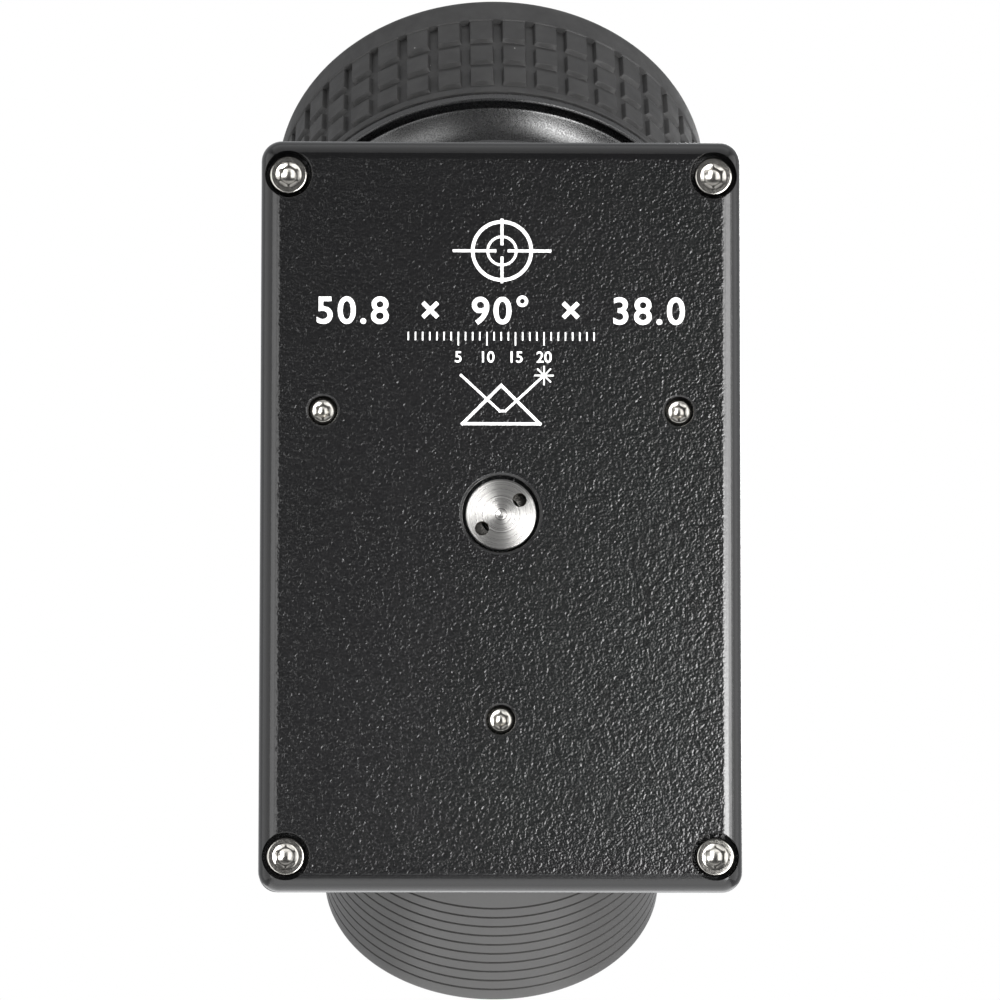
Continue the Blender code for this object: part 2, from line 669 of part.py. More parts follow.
def build_grip_sleeve(material):
    inner = RING_RADIUS + GAP
    hook = inner - GRIP_HOOK - GAP
    hook_floor = RING_TOP + GAP
    outline = [
        (inner, GRIP_START),
        (GRIP_RADIUS, GRIP_START),
        (GRIP_RADIUS, FLUTES_END),
        (BAND_RADIUS, FLUTES_END + 0.1 * MM),
        (BAND_RADIUS, BAND_END),
        *CROWN,
        (hook, CROWN[-1][1]),
        (hook, hook_floor),
        (inner, hook_floor),
    ]
    sleeve = turned("grip_sleeve", outline, EYEPIECE_FRAME, material, steps=GRIP_FLUTES)
    floor = GRIP_RADIUS - FLUTE_DEPTH
    reach = BAND_RADIUS + OVERCUT
    section = [(floor, -FLUTE_FLOOR / 2), (floor, FLUTE_FLOOR / 2)]
    section += [(reach, FLUTE_MOUTH / 2), (reach, -FLUTE_MOUTH / 2)]
    bm = bmesh.new()
    for index in range(GRIP_FLUTES):
        turn = Matrix.Rotation(FLUTE_PHASE + FULL_TURN * index / GRIP_FLUTES, 3, "Z")
        loops = []
        for level in (FLUTES_START, FLUTES_END - 0.2 * MM):
            loops.append([bm.verts.new(turn @ Vector((x, y, level))) for x, y in section])
        bm.faces.new(loops[0])
        bm.faces.new(loops[1])
        for corner in range(4):
            after = (corner + 1) % 4
            bm.faces.new([loops[0][corner], loops[0][after], loops[1][after], loops[1][corner]])
    return boolean(sleeve, make_object("flute_tool", bm, EYEPIECE_FRAME))


def build_cover_ring(material):
    bore = CARRIER_RADIUS + GAP
    outline = [
        (bore, COVER_RING_START),
        (COVER_RING_RADIUS, COVER_RING_START),
        (COVER_RING_RADIUS, SEAT_FACE - HOLE_CHAMFER),
        (COVER_RING_RADIUS - HOLE_CHAMFER, SEAT_FACE),
        (MOUTH_RADIUS, SEAT_FACE),
        (SOCKET_RADIUS, SEAT_FACE - MOUTH_DEPTH),
        (SOCKET_RADIUS, CARRIER_TOP + GAP),
        (bore, CARRIER_TOP + GAP),
    ]
    turned("cover_ring", outline, EYEPIECE_FRAME, material)


# ---------------------------------------------------------------- prism and its cell

def build_prism(material):
    """Roof prism: the two roof faces meet at 90 degrees along a ridge through the bend."""
    bm = bmesh.new()
    bmesh.ops.create_cube(bm, size=2)
    size = (PRISM_HALF_WIDTH, PRISM_HALF_LENGTH, PRISM_DEPTH / 2)
    bmesh.ops.scale(bm, verts=bm.verts, vec=size)
    bmesh.ops.translate(bm, verts=bm.verts, vec=(0, 0, -PRISM_DEPTH / 2))
    slope = 1 / sqrt(2)
    planes = [
        ((0, 0, 0), (slope, 0, slope)),
        ((0, 0, 0), (-slope, 0, slope)),
        ((0, PRISM_FACE * slope, -PRISM_FACE * slope), (0, slope, -slope)),
        ((0, -PRISM_FACE * slope, -PRISM_FACE * slope), (0, -slope, -slope)),
    ]
    for point, normal in planes:
        whole = bm.verts[:] + bm.edges[:] + bm.faces[:]
        cut = bmesh.ops.bisect_plane(bm, geom=whole, plane_co=point, plane_no=normal, clear_outer=True)
        edges = [piece for piece in cut["geom_cut"] if isinstance(piece, bmesh.types.BMEdge)]
        bmesh.ops.contextual_create(bm, geom=edges)
    make_object("amici_prism", bm, PLATE_FRAME, material)


def cheek_outline():
    """Side view of the cell in the plate frame: climb and normal, clear of the two light faces."""
    reach = PRISM_FACE * sqrt(2)
    shoulder = CELL_HALF_LENGTH - reach
    right = [(CELL_HALF_LENGTH, CELL_BACK), (CELL_HALF_LENGTH, shoulder)]
    right.append((reach - CHEEK_DEPTH, -CHEEK_DEPTH))
    left = [(-climb, normal) for climb, normal in reversed(right)]
    return right + left


def strap_hole_tool(name, low, high):
    bm = bmesh.new()
    hole = [(0, low), (STRAP_HOLE_RADIUS, low), (STRAP_HOLE_RADIUS, high), (0, high)]
    for side in (-1, 1):
        add_turned(bm, hole, steps=SMALL_STEPS, shift=(side * STRAP_SCREW_X, 0))
    return make_object(name, bm, PLATE_FRAME)


def build_prism_carrier(material):
    """U-shaped cell: the prism sits between its cheeks, and its base takes the screws' tips."""
    width = CELL_HALF_WIDTH
    carrier = extruded("prism_carrier", cheek_outline(), -width, width, PLATE_FRAME, material, axis="x")
    low = (-CHEEK_INNER, -CELL_HALF_LENGTH - OVERCUT, -CHEEK_DEPTH - OVERCUT)
    boolean(carrier, block("channel_tool", low, (CHEEK_INNER, -low[1], CELL_FRONT), PLATE_FRAME))
    low = CELL_FRONT - OVERCUT
    high = CELL_BACK + OVERCUT
    hole = [(0, low), (TENSION_HOLE_RADIUS, low), (TENSION_HOLE_RADIUS, high), (0, high)]
    boolean(carrier, turned("thread_tool", hole, PLATE_FRAME, steps=SCREW_STEPS))
    blind = strap_hole_tool("strap_thread_tool", -CHEEK_DEPTH - OVERCUT, -CHEEK_DEPTH + STRAP_HOLE_DEPTH)
    boolean(carrier, blind)


def build_prism_strap(strap_material, screw_material):
    """Strap across the cheeks under the prism's far end, with a screw at each end."""
    top = -CHEEK_DEPTH - GAP
    bottom = top - STRAP_THICKNESS
    low = (-CELL_HALF_WIDTH, -STRAP_HALF_WIDTH, bottom)
    high = (CELL_HALF_WIDTH, STRAP_HALF_WIDTH, top)
    strap = block("prism_strap", low, high, PLATE_FRAME, strap_material)
    boolean(strap, strap_hole_tool("strap_hole_tool", bottom - OVERCUT, top + OVERCUT))
    screw = socket_screw_outline(1.6 * MM, 1.2 * MM, 1.2 * MM, 0.9 * MM, -5.5 * MM, 0.65 * MM, 0.7 * MM)
    for name, side in (("left", -1), ("right", 1)):
        place = Matrix.Translation((side * STRAP_SCREW_X, 0, bottom - GAP))
        frame = PLATE_FRAME @ place @ Matrix.Rotation(pi, 4, "X")
        turned(f"strap_screw_{name}", screw, frame, screw_material, steps=SMALL_STEPS)


def build_cushions(material):
    """Thin pads between the prism and the metal of its cell."""
    low = (-CUSHION_HALF_WIDTH, -STRAP_HALF_WIDTH, -CHEEK_DEPTH)
    high = (CUSHION_HALF_WIDTH, STRAP_HALF_WIDTH, -PRISM_DEPTH - GAP)
    block("strap_cushion", low, high, PLATE_FRAME, material)
    length = SIDE_CUSHION_HALF_LENGTH
    for name, side in (("left", -1), ("right", 1)):
        walls = sorted((side * (PRISM_HALF_WIDTH + GAP), side * (CHEEK_INNER - GAP)))
        low = (walls[0], -length, SIDE_CUSHION_LEVELS[0])
        high = (walls[1], length, SIDE_CUSHION_LEVELS[1])
        block(f"side_cushion_{name}", low, high, PLATE_FRAME, material)


def main():
    clear_scene()
    coat = make_material("crinkle_black", (0.02, 0.02, 0.022), 0.45)
    gloss = make_material("gloss_black", (0.012, 0.012, 0.013), 0.2)
    anodised = make_material("anodised_black", (0.05, 0.05, 0.05), 0.42, metallic=0.6)
    matte = make_material("matte_black", (0.01, 0.01, 0.01), 0.9)
    rubber = make_material("grip_rubber", (0.045, 0.045, 0.048), 0.75)
    stainless = make_material("stainless", (0.72, 0.71, 0.68), 0.25, metallic=1.0)
    brass = make_material("brass", (0.75, 0.56, 0.25), 0.3, metallic=1.0)
    aluminium = make_material("aluminium", (0.78, 0.78, 0.77), 0.35, metallic=1.0)
    glass = make_material("prism_glass", (0.85, 0.95, 0.95), 0.0, alpha=0.35)
    cork = make_material("cork", (0.55, 0.38, 0.22), 0.9)

    build_housing(coat)
    build_back_plate(coat)
    build_cover_screws(stainless)
    build_adjusting_screws(stainless)
    build_tension_screw(aluminium, stainless)
    build_nosepiece(anodised, anodised, matte)
    build_clamp_base(gloss)
    build_jaw_carrier(anodised)
    build_clamp_jaws(brass)
    build_clamp_ring(anodised)
    build_cam_ring(brass)
    build_grip_sleeve(rubber)
    build_cover_ring(anodised)
    build_prism(glass)
    build_prism_carrier(anodised)
    build_prism_strap(stainless, stainless)
    build_cushions(cork)


main()
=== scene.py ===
"""Looks of the star diagonal: fine meshes, materials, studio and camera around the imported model.

Lengths are in metres. Three local frames are used: EYEPIECE_FRAME and NOSE_FRAME have z along
an optical axis and start at the bend, and PLATE_FRAME has x across the back plate, y up the
plate and z along its outward normal, also from the bend.
"""
import json
from math import cos, pi, radians, sin, sqrt, tan

import bmesh
import bpy
from mathutils import Matrix, Vector


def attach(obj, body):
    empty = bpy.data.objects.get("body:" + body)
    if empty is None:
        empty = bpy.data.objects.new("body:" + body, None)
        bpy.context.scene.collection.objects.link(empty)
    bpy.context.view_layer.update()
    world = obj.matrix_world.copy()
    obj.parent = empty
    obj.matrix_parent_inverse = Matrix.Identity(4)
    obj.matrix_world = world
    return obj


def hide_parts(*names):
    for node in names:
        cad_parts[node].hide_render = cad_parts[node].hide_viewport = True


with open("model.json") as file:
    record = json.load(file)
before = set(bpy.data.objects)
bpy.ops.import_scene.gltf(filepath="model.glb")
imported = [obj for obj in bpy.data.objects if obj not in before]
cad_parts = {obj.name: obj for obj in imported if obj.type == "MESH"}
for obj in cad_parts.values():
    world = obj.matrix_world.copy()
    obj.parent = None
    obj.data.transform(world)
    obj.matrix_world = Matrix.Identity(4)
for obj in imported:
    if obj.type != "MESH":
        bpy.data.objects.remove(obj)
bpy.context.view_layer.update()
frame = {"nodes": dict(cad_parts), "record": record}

MM = 0.001
FULL_TURN = 2 * pi
GAP = 0.3 * MM                      # between the back plate and the housing

# Layout, from the frame where the frame says it
RECORD = frame["record"]
BODY_OF = {node: body for body, nodes in RECORD["behaviour"]["bodies"].items() for node in nodes}
SLOT_OF = {part["node"]: part["material_slot"] for part in RECORD["subparts"]}
BEND = Vector((0, 38.0 * MM, 0))    # where the two optical axes cross
LEG_FACE = 34.0 * MM                # from the bend to the outside of the housing's walls
CAVITY_FACE = 31.0 * MM             # from the bend to their inside
PLATE_FACE = 18.29 * MM
PLATE_WIDTH = 67.4 * MM
PLATE_LENGTH = 105.4 * MM
PLATE_THICKNESS = 5.5 * MM
EDGE_ROUND = 2.6 * MM               # of the edges round the plate's face and the housing
PLAN_ROUND = 2.9 * MM               # of the plate's corners
PLATE_BACK = PLATE_FACE - PLATE_THICKNESS
CORNER_CHAMFER = 4.5 * MM           # off each leg face of the housing at its inside corner
CAVITY_HALF_LENGTH = 43.2 * MM
CAVITY_HALF_WIDTH = 29 * MM
CAVITY_DEPTH = 42.0 * MM            # from the bend to the flat across the cavity's corner
BOSS_RADIUS = 33.4 * MM
BOSS_TOP = 47.6 * MM
BOSS_SEAT = 30.3 * MM
PORT_RADIUS = 23.5 * MM             # light port under the eyepiece clamp
NOSE_PORT_RADIUS = 26.3 * MM

EYEPIECE_FRAME = Matrix.Translation(BEND)
NOSE_FRAME = Matrix.Translation(BEND) @ Matrix.Rotation(radians(90), 4, "X")
PLATE_FRAME = Matrix.Translation(BEND) @ Matrix(
    (
        (-1, 0, 0, 0),
        (0, 1 / sqrt(2), 1 / sqrt(2), 0),
        (0, 1 / sqrt(2), -1 / sqrt(2), 0),
        (0, 0, 0, 1),
    )
)

# Fasteners, in the plane of the back plate
COVER_HEAD_RADIUS = 2.72 * MM
COVER_BORE = 3.3 * MM
COVER_SHANK_HOLE = 1.65 * MM
ADJUSTER_RADIUS = 1.97 * MM
ADJUSTER_BORE = 2.03 * MM
TENSION_HEAD_RADIUS = 4.95 * MM
TENSION_BORE = 5.4 * MM
TENSION_SHANK_HOLE = 2.9 * MM
PIN_HOLE_RADIUS = 0.93 * MM
PIN_HOLE_OFFSET = 3.3 * MM
PIN_HOLE_ANGLE = radians(37)
COVER_SCREWS = {
    f"{row}_{side}": (across * 29.87 * MM, climb * 47.75 * MM)
    for row, climb in (("top", 1), ("bottom", -1))
    for side, across in (("left", -1), ("right", 1))
}
ADJUSTERS = {
    name: (28.77 * MM * cos(radians(turn)), 28.77 * MM * sin(radians(turn)))
    for name, turn in (("left", 150), ("right", 30), ("low", 270))
}

# Two-inch fit
BARREL_RADIUS = 25.4 * MM
BARREL_BORE = 22.3 * MM
BARREL_END = 71.67 * MM
SOCKET_RADIUS = 25.5 * MM

# Eyepiece clamp
CARRIER_RADIUS = 27.5 * MM
JAW_CENTRES = (90, 210, 330)
COVE_FOOT = (27.0 * MM, 53.6 * MM)  # radius and height where the clamp's cove starts and ends
COVE_TOP = (31.4 * MM, 58.0 * MM)
COVE_HOLLOW = 0.32 * MM
GRIP_START = 60.1 * MM
GRIP_RADIUS = 33.05 * MM
GRIP_PADS = 42
PAD_PHASE = radians(0.7)
PAD_HALF_WIDTH = 1.6 * MM
PAD_WALL = 0.3 * MM                 # width of a pad's sloping side
PAD_ROWS = ((62.85 * MM, 66.35 * MM), (68.35 * MM, 71.9 * MM), (73.85 * MM, 78.4 * MM))
RIM_END = 61.5 * MM                 # the sleeve's lower rim runs all the way round up to here
SLEEVE_BORE = 31.9 * MM
BAND_START = 78.4 * MM
BAND_RADIUS = 33.25 * MM

TURN_STEPS = 144


# ---------------------------------------------------------------- shader nodes

class Shading:
    """A material and short calls that add nodes to it and return their output sockets."""

    def __init__(self, name, **values):
        self.material = bpy.data.materials.new(name)
        self.material.use_nodes = True
        self.tree = self.material.node_tree
        self.shader = self.tree.nodes["Principled BSDF"]
        self.coordinates = self.tree.nodes.new("ShaderNodeTexCoord")
        self.place = self.coordinates.outputs["Object"]
        self.finish(**values)

    def feed(self, socket, value):
        if isinstance(value, bpy.types.NodeSocket):
            self.tree.links.new(value, socket)
        else:
            socket.default_value = value

    def add(self, kind, inputs=None, output=0, **settings):
        made = self.tree.nodes.new("ShaderNode" + kind)
        for key, value in settings.items():
            setattr(made, key, value)
        for key, value in (inputs or {}).items():
            self.feed(made.inputs[key], value)
        return made.outputs[output]

    def math(self, operation, first, second=0.0):
        return self.add("Math", {0: first, 1: second}, operation=operation)

    def span(self, value, low, high, to_low=0.0, to_high=1.0, smooth=False):
        """Map a value from one range to another, held at both ends."""
        inputs = {
            "Value": value, "From Min": low, "From Max": high, "To Min": to_low, "To Max": to_high,
        }
        kind = "SMOOTHSTEP" if smooth else "LINEAR"
        return self.add("MapRange", inputs, interpolation_type=kind, clamp=True)

    def noise(self, size, detail=2.0, rough=0.5):
        """Noise whose blobs are about the given size in metres."""
        inputs = {"Vector": self.place, "Scale": 1 / size, "Detail": detail, "Roughness": rough}
        return self.add("TexNoise", inputs)

    def cells(self, size, output="Distance", feature="F1"):
        inputs = {"Vector": self.place, "Scale": 1 / size, "Randomness": 1.0}
        return self.add("TexVoronoi", inputs, output, feature=feature)

    def axis(self, letter):
        return self.add("SeparateXYZ", {"Vector": self.place}, letter)

    def radius(self):
        flat = self.add("VectorMath", {0: self.place, 1: (1, 1, 0)}, operation="MULTIPLY")
        return self.add("VectorMath", {0: flat}, "Value", operation="LENGTH")

    def turning(self, pitch, detail=2.0):
        """Marks of a lathe tool: bands that run round the z axis, on faces, cones and cylinders."""
        along = self.math("ADD", self.radius(), self.axis("Z"))
        inputs = {"W": along, "Scale": 1 / pitch, "Detail": detail}
        return self.add("TexNoise", inputs, noise_dimensions="1D")

    def colours(self, value, low, high):
        ramp = self.add("ValToRGB", {"Fac": value})
        stops = ramp.node.color_ramp.elements
        stops[0].color = (*low, 1)
        stops[1].color = (*high, 1)
        return ramp

    def bump(self, height, distance, normal=None):
        inputs = {"Height": height, "Distance": distance, "Strength": 1.0}
        if normal is not None:
            inputs["Normal"] = normal
        return self.add("Bump", inputs)

    def finish(self, **values):
        for key, value in values.items():
            self.feed(self.shader.inputs[key.replace("_", " ")], value)
        return self.material


# ---------------------------------------------------------------- materials

def crinkle_coat(name, field_mask):
    """Black fine-crinkle powder coat: orange peel on the flats that fades out on rounded edges."""
    made = Shading(name)
    mask = field_mask(made)
    peel = made.noise(0.31 * MM, detail=1.0, rough=0.4)
    swirl = made.noise(0.6 * MM, detail=0.0)
    height = made.math("ADD", peel, made.math("MULTIPLY", swirl, 0.9))
    fine = made.bump(made.noise(0.12 * MM, detail=0.0), 0.0008 * MM)
    smoothed = made.bump(made.noise(0.9 * MM, detail=2.0), 0.012 * MM, normal=fine)
    normal = made.bump(made.math("MULTIPLY", height, mask), 0.054 * MM, normal=smoothed)
    rough = made.span(made.noise(0.3 * MM), 0.3, 0.7, 0.19, 0.24)
    dusty = made.noise(9 * MM, detail=4.0)
    shade = made.colours(dusty, (0.0014, 0.0014, 0.0016), (0.0026, 0.0025, 0.0027))
    return made.finish(Base_Color=shade, Roughness=rough, Normal=normal)


def plate_field(made):
    """One on the plate's flat face, fading to zero a little way down its rounded edge."""
    sides = []
    for letter, length in (("X", PLATE_WIDTH), ("Y", PLATE_LENGTH)):
        reach = made.math("ABSOLUTE", made.axis(letter))
        sides.append(made.math("SUBTRACT", reach, length / 2 - EDGE_ROUND))
    outside = made.math("MAXIMUM", *sides)
    flat = made.span(outside, -0.2 * MM, 0.35 * MM, 1.0, 0.0, smooth=True)
    lean = made.add("SeparateXYZ", {"Vector": made.coordinates.outputs["Normal"]}, "Z")
    return made.math("MULTIPLY", flat, made.span(lean, 0.90, 0.985))


def box_field(made):
    """One on the housing's flat walls, zero on its rounded edges and on the round boss."""
    surface = made.coordinates.outputs["Normal"]
    best = 0.0
    directions = [(1, 0, 0), (0, 1, 0), (0, 0, 1)]
    directions += [(0, 1 / sqrt(2), 1 / sqrt(2)), (0, 1 / sqrt(2), -1 / sqrt(2))]
    for direction in directions:
        facing = made.add(
            "VectorMath", {0: surface, 1: direction}, "Value", operation="DOT_PRODUCT",
        )
        best = made.math("MAXIMUM", best, made.math("ABSOLUTE", facing))
    walls = made.span(made.axis("Z"), LEG_FACE + 0.3 * MM, LEG_FACE + 0.8 * MM, 1.0, 0.0)
    return made.math("MULTIPLY", made.span(best, 0.965, 0.995, smooth=True), walls)


def gloss_coat():
    """Glossy black paint with a fine grain that breaks up its highlights."""
    made = Shading("gloss_coat")
    grain = made.bump(made.noise(0.20 * MM, detail=1.0), 0.010 * MM)
    shade = made.colours(
        made.noise(0.2 * MM, detail=1.0), (0.002, 0.002, 0.0021), (0.022, 0.022, 0.0225),
    )
    rough = made.span(made.noise(0.25 * MM, detail=1.0), 0.3, 0.7, 0.20, 0.34)
    return made.finish(Base_Color=shade, Roughness=rough, Normal=grain, Specular_IOR_Level=0.75)


def anodised(name, low, high, rough):
    """Black anodised aluminium, satin, with the fine bands of the lathe tool."""
    made = Shading(name)
    clouds = made.noise(7 * MM, detail=3.0)
    rough = made.span(made.noise(0.5 * MM, detail=3.0), 0.3, 0.7, rough - 0.05, rough + 0.05)
    normal = made.bump(made.turning(0.09 * MM), 0.004 * MM)
    normal = made.bump(made.noise(0.08 * MM, detail=1.0), 0.0015 * MM, normal=normal)
    shade = made.colours(clouds, low, high)
    return made.finish(Base_Color=shade, Roughness=rough, Normal=normal)


def matte_black():
    """Dull anti-reflection paint."""
    made = Shading("matte_black")
    normal = made.bump(made.noise(0.1 * MM, detail=3.0), 0.02 * MM)
    shade = made.colours(made.noise(3 * MM), (0.006, 0.006, 0.006), (0.012, 0.012, 0.012))
    rough = made.span(made.noise(0.6 * MM), 0.3, 0.7, 0.82, 0.95)
    return made.finish(Base_Color=shade, Roughness=rough, Normal=normal)


def grip_rubber():
    """Moulded rubber with a fine matte grain and a few specks of dust."""
    made = Shading("grip_rubber")
    grain = made.bump(made.noise(0.14 * MM, detail=3.0, rough=0.6), 0.018 * MM)
    normal = made.bump(made.noise(1.6 * MM, detail=2.0), 0.05 * MM, normal=grain)
    lot = made.add("SeparateColor", {"Color": made.cells(2.2 * MM, "Color")}, "Green")
    chosen = made.math("GREATER_THAN", lot, 0.95)
    near = made.span(made.cells(2.2 * MM), 0.03, 0.055, 1.0, 0.0)
    speck = made.math("MULTIPLY", chosen, near)
    worn = made.math("ADD", made.math("MULTIPLY", made.noise(5 * MM, detail=5.0), 0.05), speck)
    shade = made.colours(worn, (0.004, 0.0039, 0.0043), (0.50, 0.49, 0.47))
    rough = made.span(made.noise(2 * MM, detail=3.0), 0.3, 0.7, 0.58, 0.72)
    return made.finish(Base_Color=shade, Roughness=rough, Normal=normal)


def stainless():
    """Machined stainless steel, faintly warm, with lathe bands and small stains."""
    made = Shading("stainless", Metallic=1.0)
    normal = made.bump(made.turning(0.11 * MM, detail=1.0), 0.003 * MM)
    normal = made.bump(made.noise(0.3 * MM, detail=2.0), 0.0016 * MM, normal=normal)
    shade = made.colours(
        made.noise(0.5 * MM, detail=4.0), (0.26, 0.251, 0.232), (0.42, 0.406, 0.380),
    )
    rough = made.span(made.noise(0.3 * MM, detail=3.0), 0.3, 0.7, 0.14, 0.24)
    return made.finish(Base_Color=shade, Roughness=rough, Normal=normal)


def turned_aluminium():
    """Bare faced aluminium: rings of tool marks that spread the light across them."""
    made = Shading("turned_aluminium", Metallic=1.0, Anisotropic=0.85, Anisotropic_Rotation=0.25)
    rings = made.turning(0.20 * MM, detail=3.0)
    normal = made.bump(rings, 0.014 * MM)
    shade = made.colours(
        made.turning(0.24 * MM, detail=3.0), (0.29, 0.284, 0.274), (0.55, 0.541, 0.526),
    )
    rough = made.span(rings, 0.3, 0.7, 0.24, 0.36)
    tangent = made.add("Tangent", direction_type="RADIAL", axis="Z")
    return made.finish(Base_Color=shade, Roughness=rough, Normal=normal, Tangent=tangent)


def brass():
    made = Shading("brass", Metallic=1.0)
    shade = made.colours(made.noise(2.5 * MM, detail=4.0), (0.50, 0.34, 0.13), (0.72, 0.53, 0.24))
    normal = made.bump(made.turning(0.14 * MM), 0.006 * MM)
    rough = made.span(made.noise(1.0 * MM, detail=4.0), 0.3, 0.7, 0.24, 0.40)
    return made.finish(Base_Color=shade, Roughness=rough, Normal=normal)


def cork():
    """Pressed cork: pale granules with darker joints between them."""
    made = Shading("cork")
    joints = made.cells(0.9 * MM, feature="DISTANCE_TO_EDGE")
    grain = made.math("MULTIPLY", made.span(joints, 0.0, 0.12), made.noise(0.7 * MM, detail=4.0))
    shade = made.colours(grain, (0.11, 0.055, 0.022), (0.50, 0.33, 0.17))
    normal = made.bump(grain, 0.08 * MM)
    rough = made.span(grain, 0.0, 0.6, 0.95, 0.8)
    return made.finish(Base_Color=shade, Roughness=rough, Normal=normal)


def prism_glass():
    """Optical glass with a thin coating and slightly uneven polish."""
    made = Shading(
        "prism_glass", Base_Color=(0.93, 0.98, 0.97, 1), IOR=1.52, Transmission_Weight=1.0,
    )
    rough = made.span(made.noise(6 * MM, detail=3.0), 0.35, 0.75, 0.0, 0.03)
    return made.finish(Roughness=rough, Coat_Weight=0.3, Coat_Tint=(0.86, 0.93, 0.97, 1))


def white_ink():
    """Screen-printed ink with a slightly uneven cover."""
    made = Shading("white_ink")
    patches = made.noise(0.35 * MM, detail=3.0)
    shade = made.colours(patches, (0.66, 0.66, 0.65), (0.84, 0.84, 0.83))
    normal = made.bump(made.noise(0.5 * MM, detail=2.0), 0.02 * MM)
    rough = made.span(patches, 0.3, 0.7, 0.5, 0.62)
    return made.finish(Base_Color=shade, Roughness=rough, Normal=normal)


def painted_hole_shade():
    """Painted shade on the wall of a small drilled hole: a dark colour for the shadow inside it, in
    uneven blotches.
    """
    made = Shading("pin_hole")
    shade_blotches = made.noise(0.2 * MM)
    shade = made.colours(shade_blotches, (0.004, 0.003, 0.002), (0.02, 0.015, 0.011))
    return made.finish(
        Base_Color=shade, Roughness=made.span(shade_blotches, 0.3, 0.7, 0.8, 0.95), Specular_IOR_Level=0.1,
    )


MATERIALS = {
    # painted shade for the walls of the pin holes
    "pin_hole": painted_hole_shade(),
    "gloss_coat": gloss_coat(),
    "anodised": anodised("anodised", (0.021, 0.0203, 0.0197), (0.028, 0.0272, 0.0263), 0.40),
    "anodised_dark": anodised(
        "anodised_dark", (0.008, 0.008, 0.0085), (0.014, 0.014, 0.0145), 0.28,
    ),
    "matte_black": matte_black(),
    "grip_rubber": grip_rubber(),
    "stainless": stainless(),
    "turned_aluminium": turned_aluminium(),
    "brass": brass(),
    "prism_glass": prism_glass(),
    "cork": cork(),
}
PLATE_COAT = crinkle_coat("plate_coat", plate_field)
HOUSING_COAT = crinkle_coat("housing_coat", box_field)
INK = white_ink()


# ---------------------------------------------------------------- mesh helpers

def rounded(points, radius=0.15 * MM, steps=3):
    """Round the corners of a closed outline; a third number in a point is its own radius."""
    outline = []
    for index, point in enumerate(points):
        corner = Vector(point[:2])
        before = Vector(points[index - 1][:2]) - corner
        after = Vector(points[(index + 1) % len(points)][:2]) - corner
        wanted = point[2] if len(point) > 2 else radius
        turn = before.angle(after, pi)
        if wanted == 0 or abs(turn - pi) < 1e-3:
            outline.append(tuple(corner))
            continue
        reach = min(wanted / tan(turn / 2), 0.45 * before.length, 0.45 * after.length)
        first = corner + before.normalized() * reach
        last = corner + after.normalized() * reach
        for step in range(steps + 1):
            share = step / steps
            # a quadratic curve is close to an arc at this size
            low = first.lerp(corner, share)
            outline.append(tuple(low.lerp(corner.lerp(last, share), share)))
    return outline


def quarter_turn(steps):
    """Angles from zero to a right angle, for rounded edges."""
    return [pi / 2 * step / steps for step in range(steps + 1)]


def polygon_reach(radius, sides, angle):
    """Distance from the centre to a regular polygon of that inradius, one corner at 90 degrees."""
    if sides == 0:
        return radius
    sector = FULL_TURN / sides
    return radius / cos((angle - pi / 2) % sector - sector / 2)


def add_turned(bm, outline, steps=TURN_STEPS, shift=(0, 0), start=0.0, sweep=FULL_TURN):
    """Turn a closed outline of (radius, height) or (inradius, height, sides) about the z axis."""
    closed = sweep == FULL_TURN
    count = steps if closed else steps + 1
    rings = []
    for point in outline:
        sides = point[2] if len(point) > 2 else 0
        if point[0] == 0:
            rings.append([bm.verts.new((*shift, point[1]))])
            continue
        ring = []
        for index in range(count):
            angle = start + sweep * index / steps
            reach = polygon_reach(point[0], sides, angle)
            ring.append(
                bm.verts.new(
                    (shift[0] + reach * cos(angle), shift[1] + reach * sin(angle), point[1])
                )
            )
        rings.append(ring)
    for index, ring in enumerate(rings):
        following = rings[(index + 1) % len(rings)]
        if len(ring) == 1 and len(following) == 1:
            continue
        for step in range(steps):
            after = (step + 1) % count
            corners = [ring[step % len(ring)], ring[after % len(ring)]]
            corners += [following[after % len(following)], following[step % len(following)]]
            bm.faces.new(list(dict.fromkeys(corners)))
    if not closed:
        bm.faces.new([ring[0] for ring in rings])
        bm.faces.new([ring[-1] for ring in rings])


def add_lofted(bm, loops):
    """Join closed loops of the same length by quads, with a face over the first and the last."""
    rows = [[bm.verts.new(point) for point in loop] for loop in loops]
    for low, high in zip(rows, rows[1:]):
        for index in range(len(low)):
            after = (index + 1) % len(low)
            bm.faces.new([low[index], low[after], high[after], high[index]])
    bm.faces.new(rows[0])
    bm.faces.new(rows[-1])


def add_extruded(bm, outline, low, high, axis="z"):
    if axis == "z":
        add_lofted(bm, [[(a, b, level) for a, b in outline] for level in (low, high)])
    else:
        add_lofted(bm, [[(level, a, b) for a, b in outline] for level in (low, high)])


def rounded_rectangle(half_x, half_y, radius, steps=10):
    points = []
    for corner, (side_x, side_y) in enumerate(((1, 1), (-1, 1), (-1, -1), (1, -1))):
        for step in range(steps + 1):
            angle = pi / 2 * (corner + step / steps)
            x = side_x * (half_x - radius) + radius * cos(angle)
            points.append((x, side_y * (half_y - radius) + radius * sin(angle)))
    return points


def make_object(name, bm, place, material=None):
    bmesh.ops.recalc_face_normals(bm, faces=bm.faces)
    mesh = bpy.data.meshes.new(name)
    bm.to_mesh(mesh)
    bm.free()
    item = bpy.data.objects.new(name, mesh)
    item.matrix_world = place
    if material is not None:
        mesh.materials.append(material)
    bpy.context.scene.collection.objects.link(item)
    return item


def settle(item, cutters=()):
    """Bake an object's modifiers into its mesh and remove the cutters that they used."""
    graph = bpy.context.evaluated_depsgraph_get()
    mesh = bpy.data.meshes.new_from_object(item.evaluated_get(graph))
    item.modifiers.clear()
    item.data = mesh
    for cutter in cutters:
        bpy.data.objects.remove(cutter, do_unlink=True)


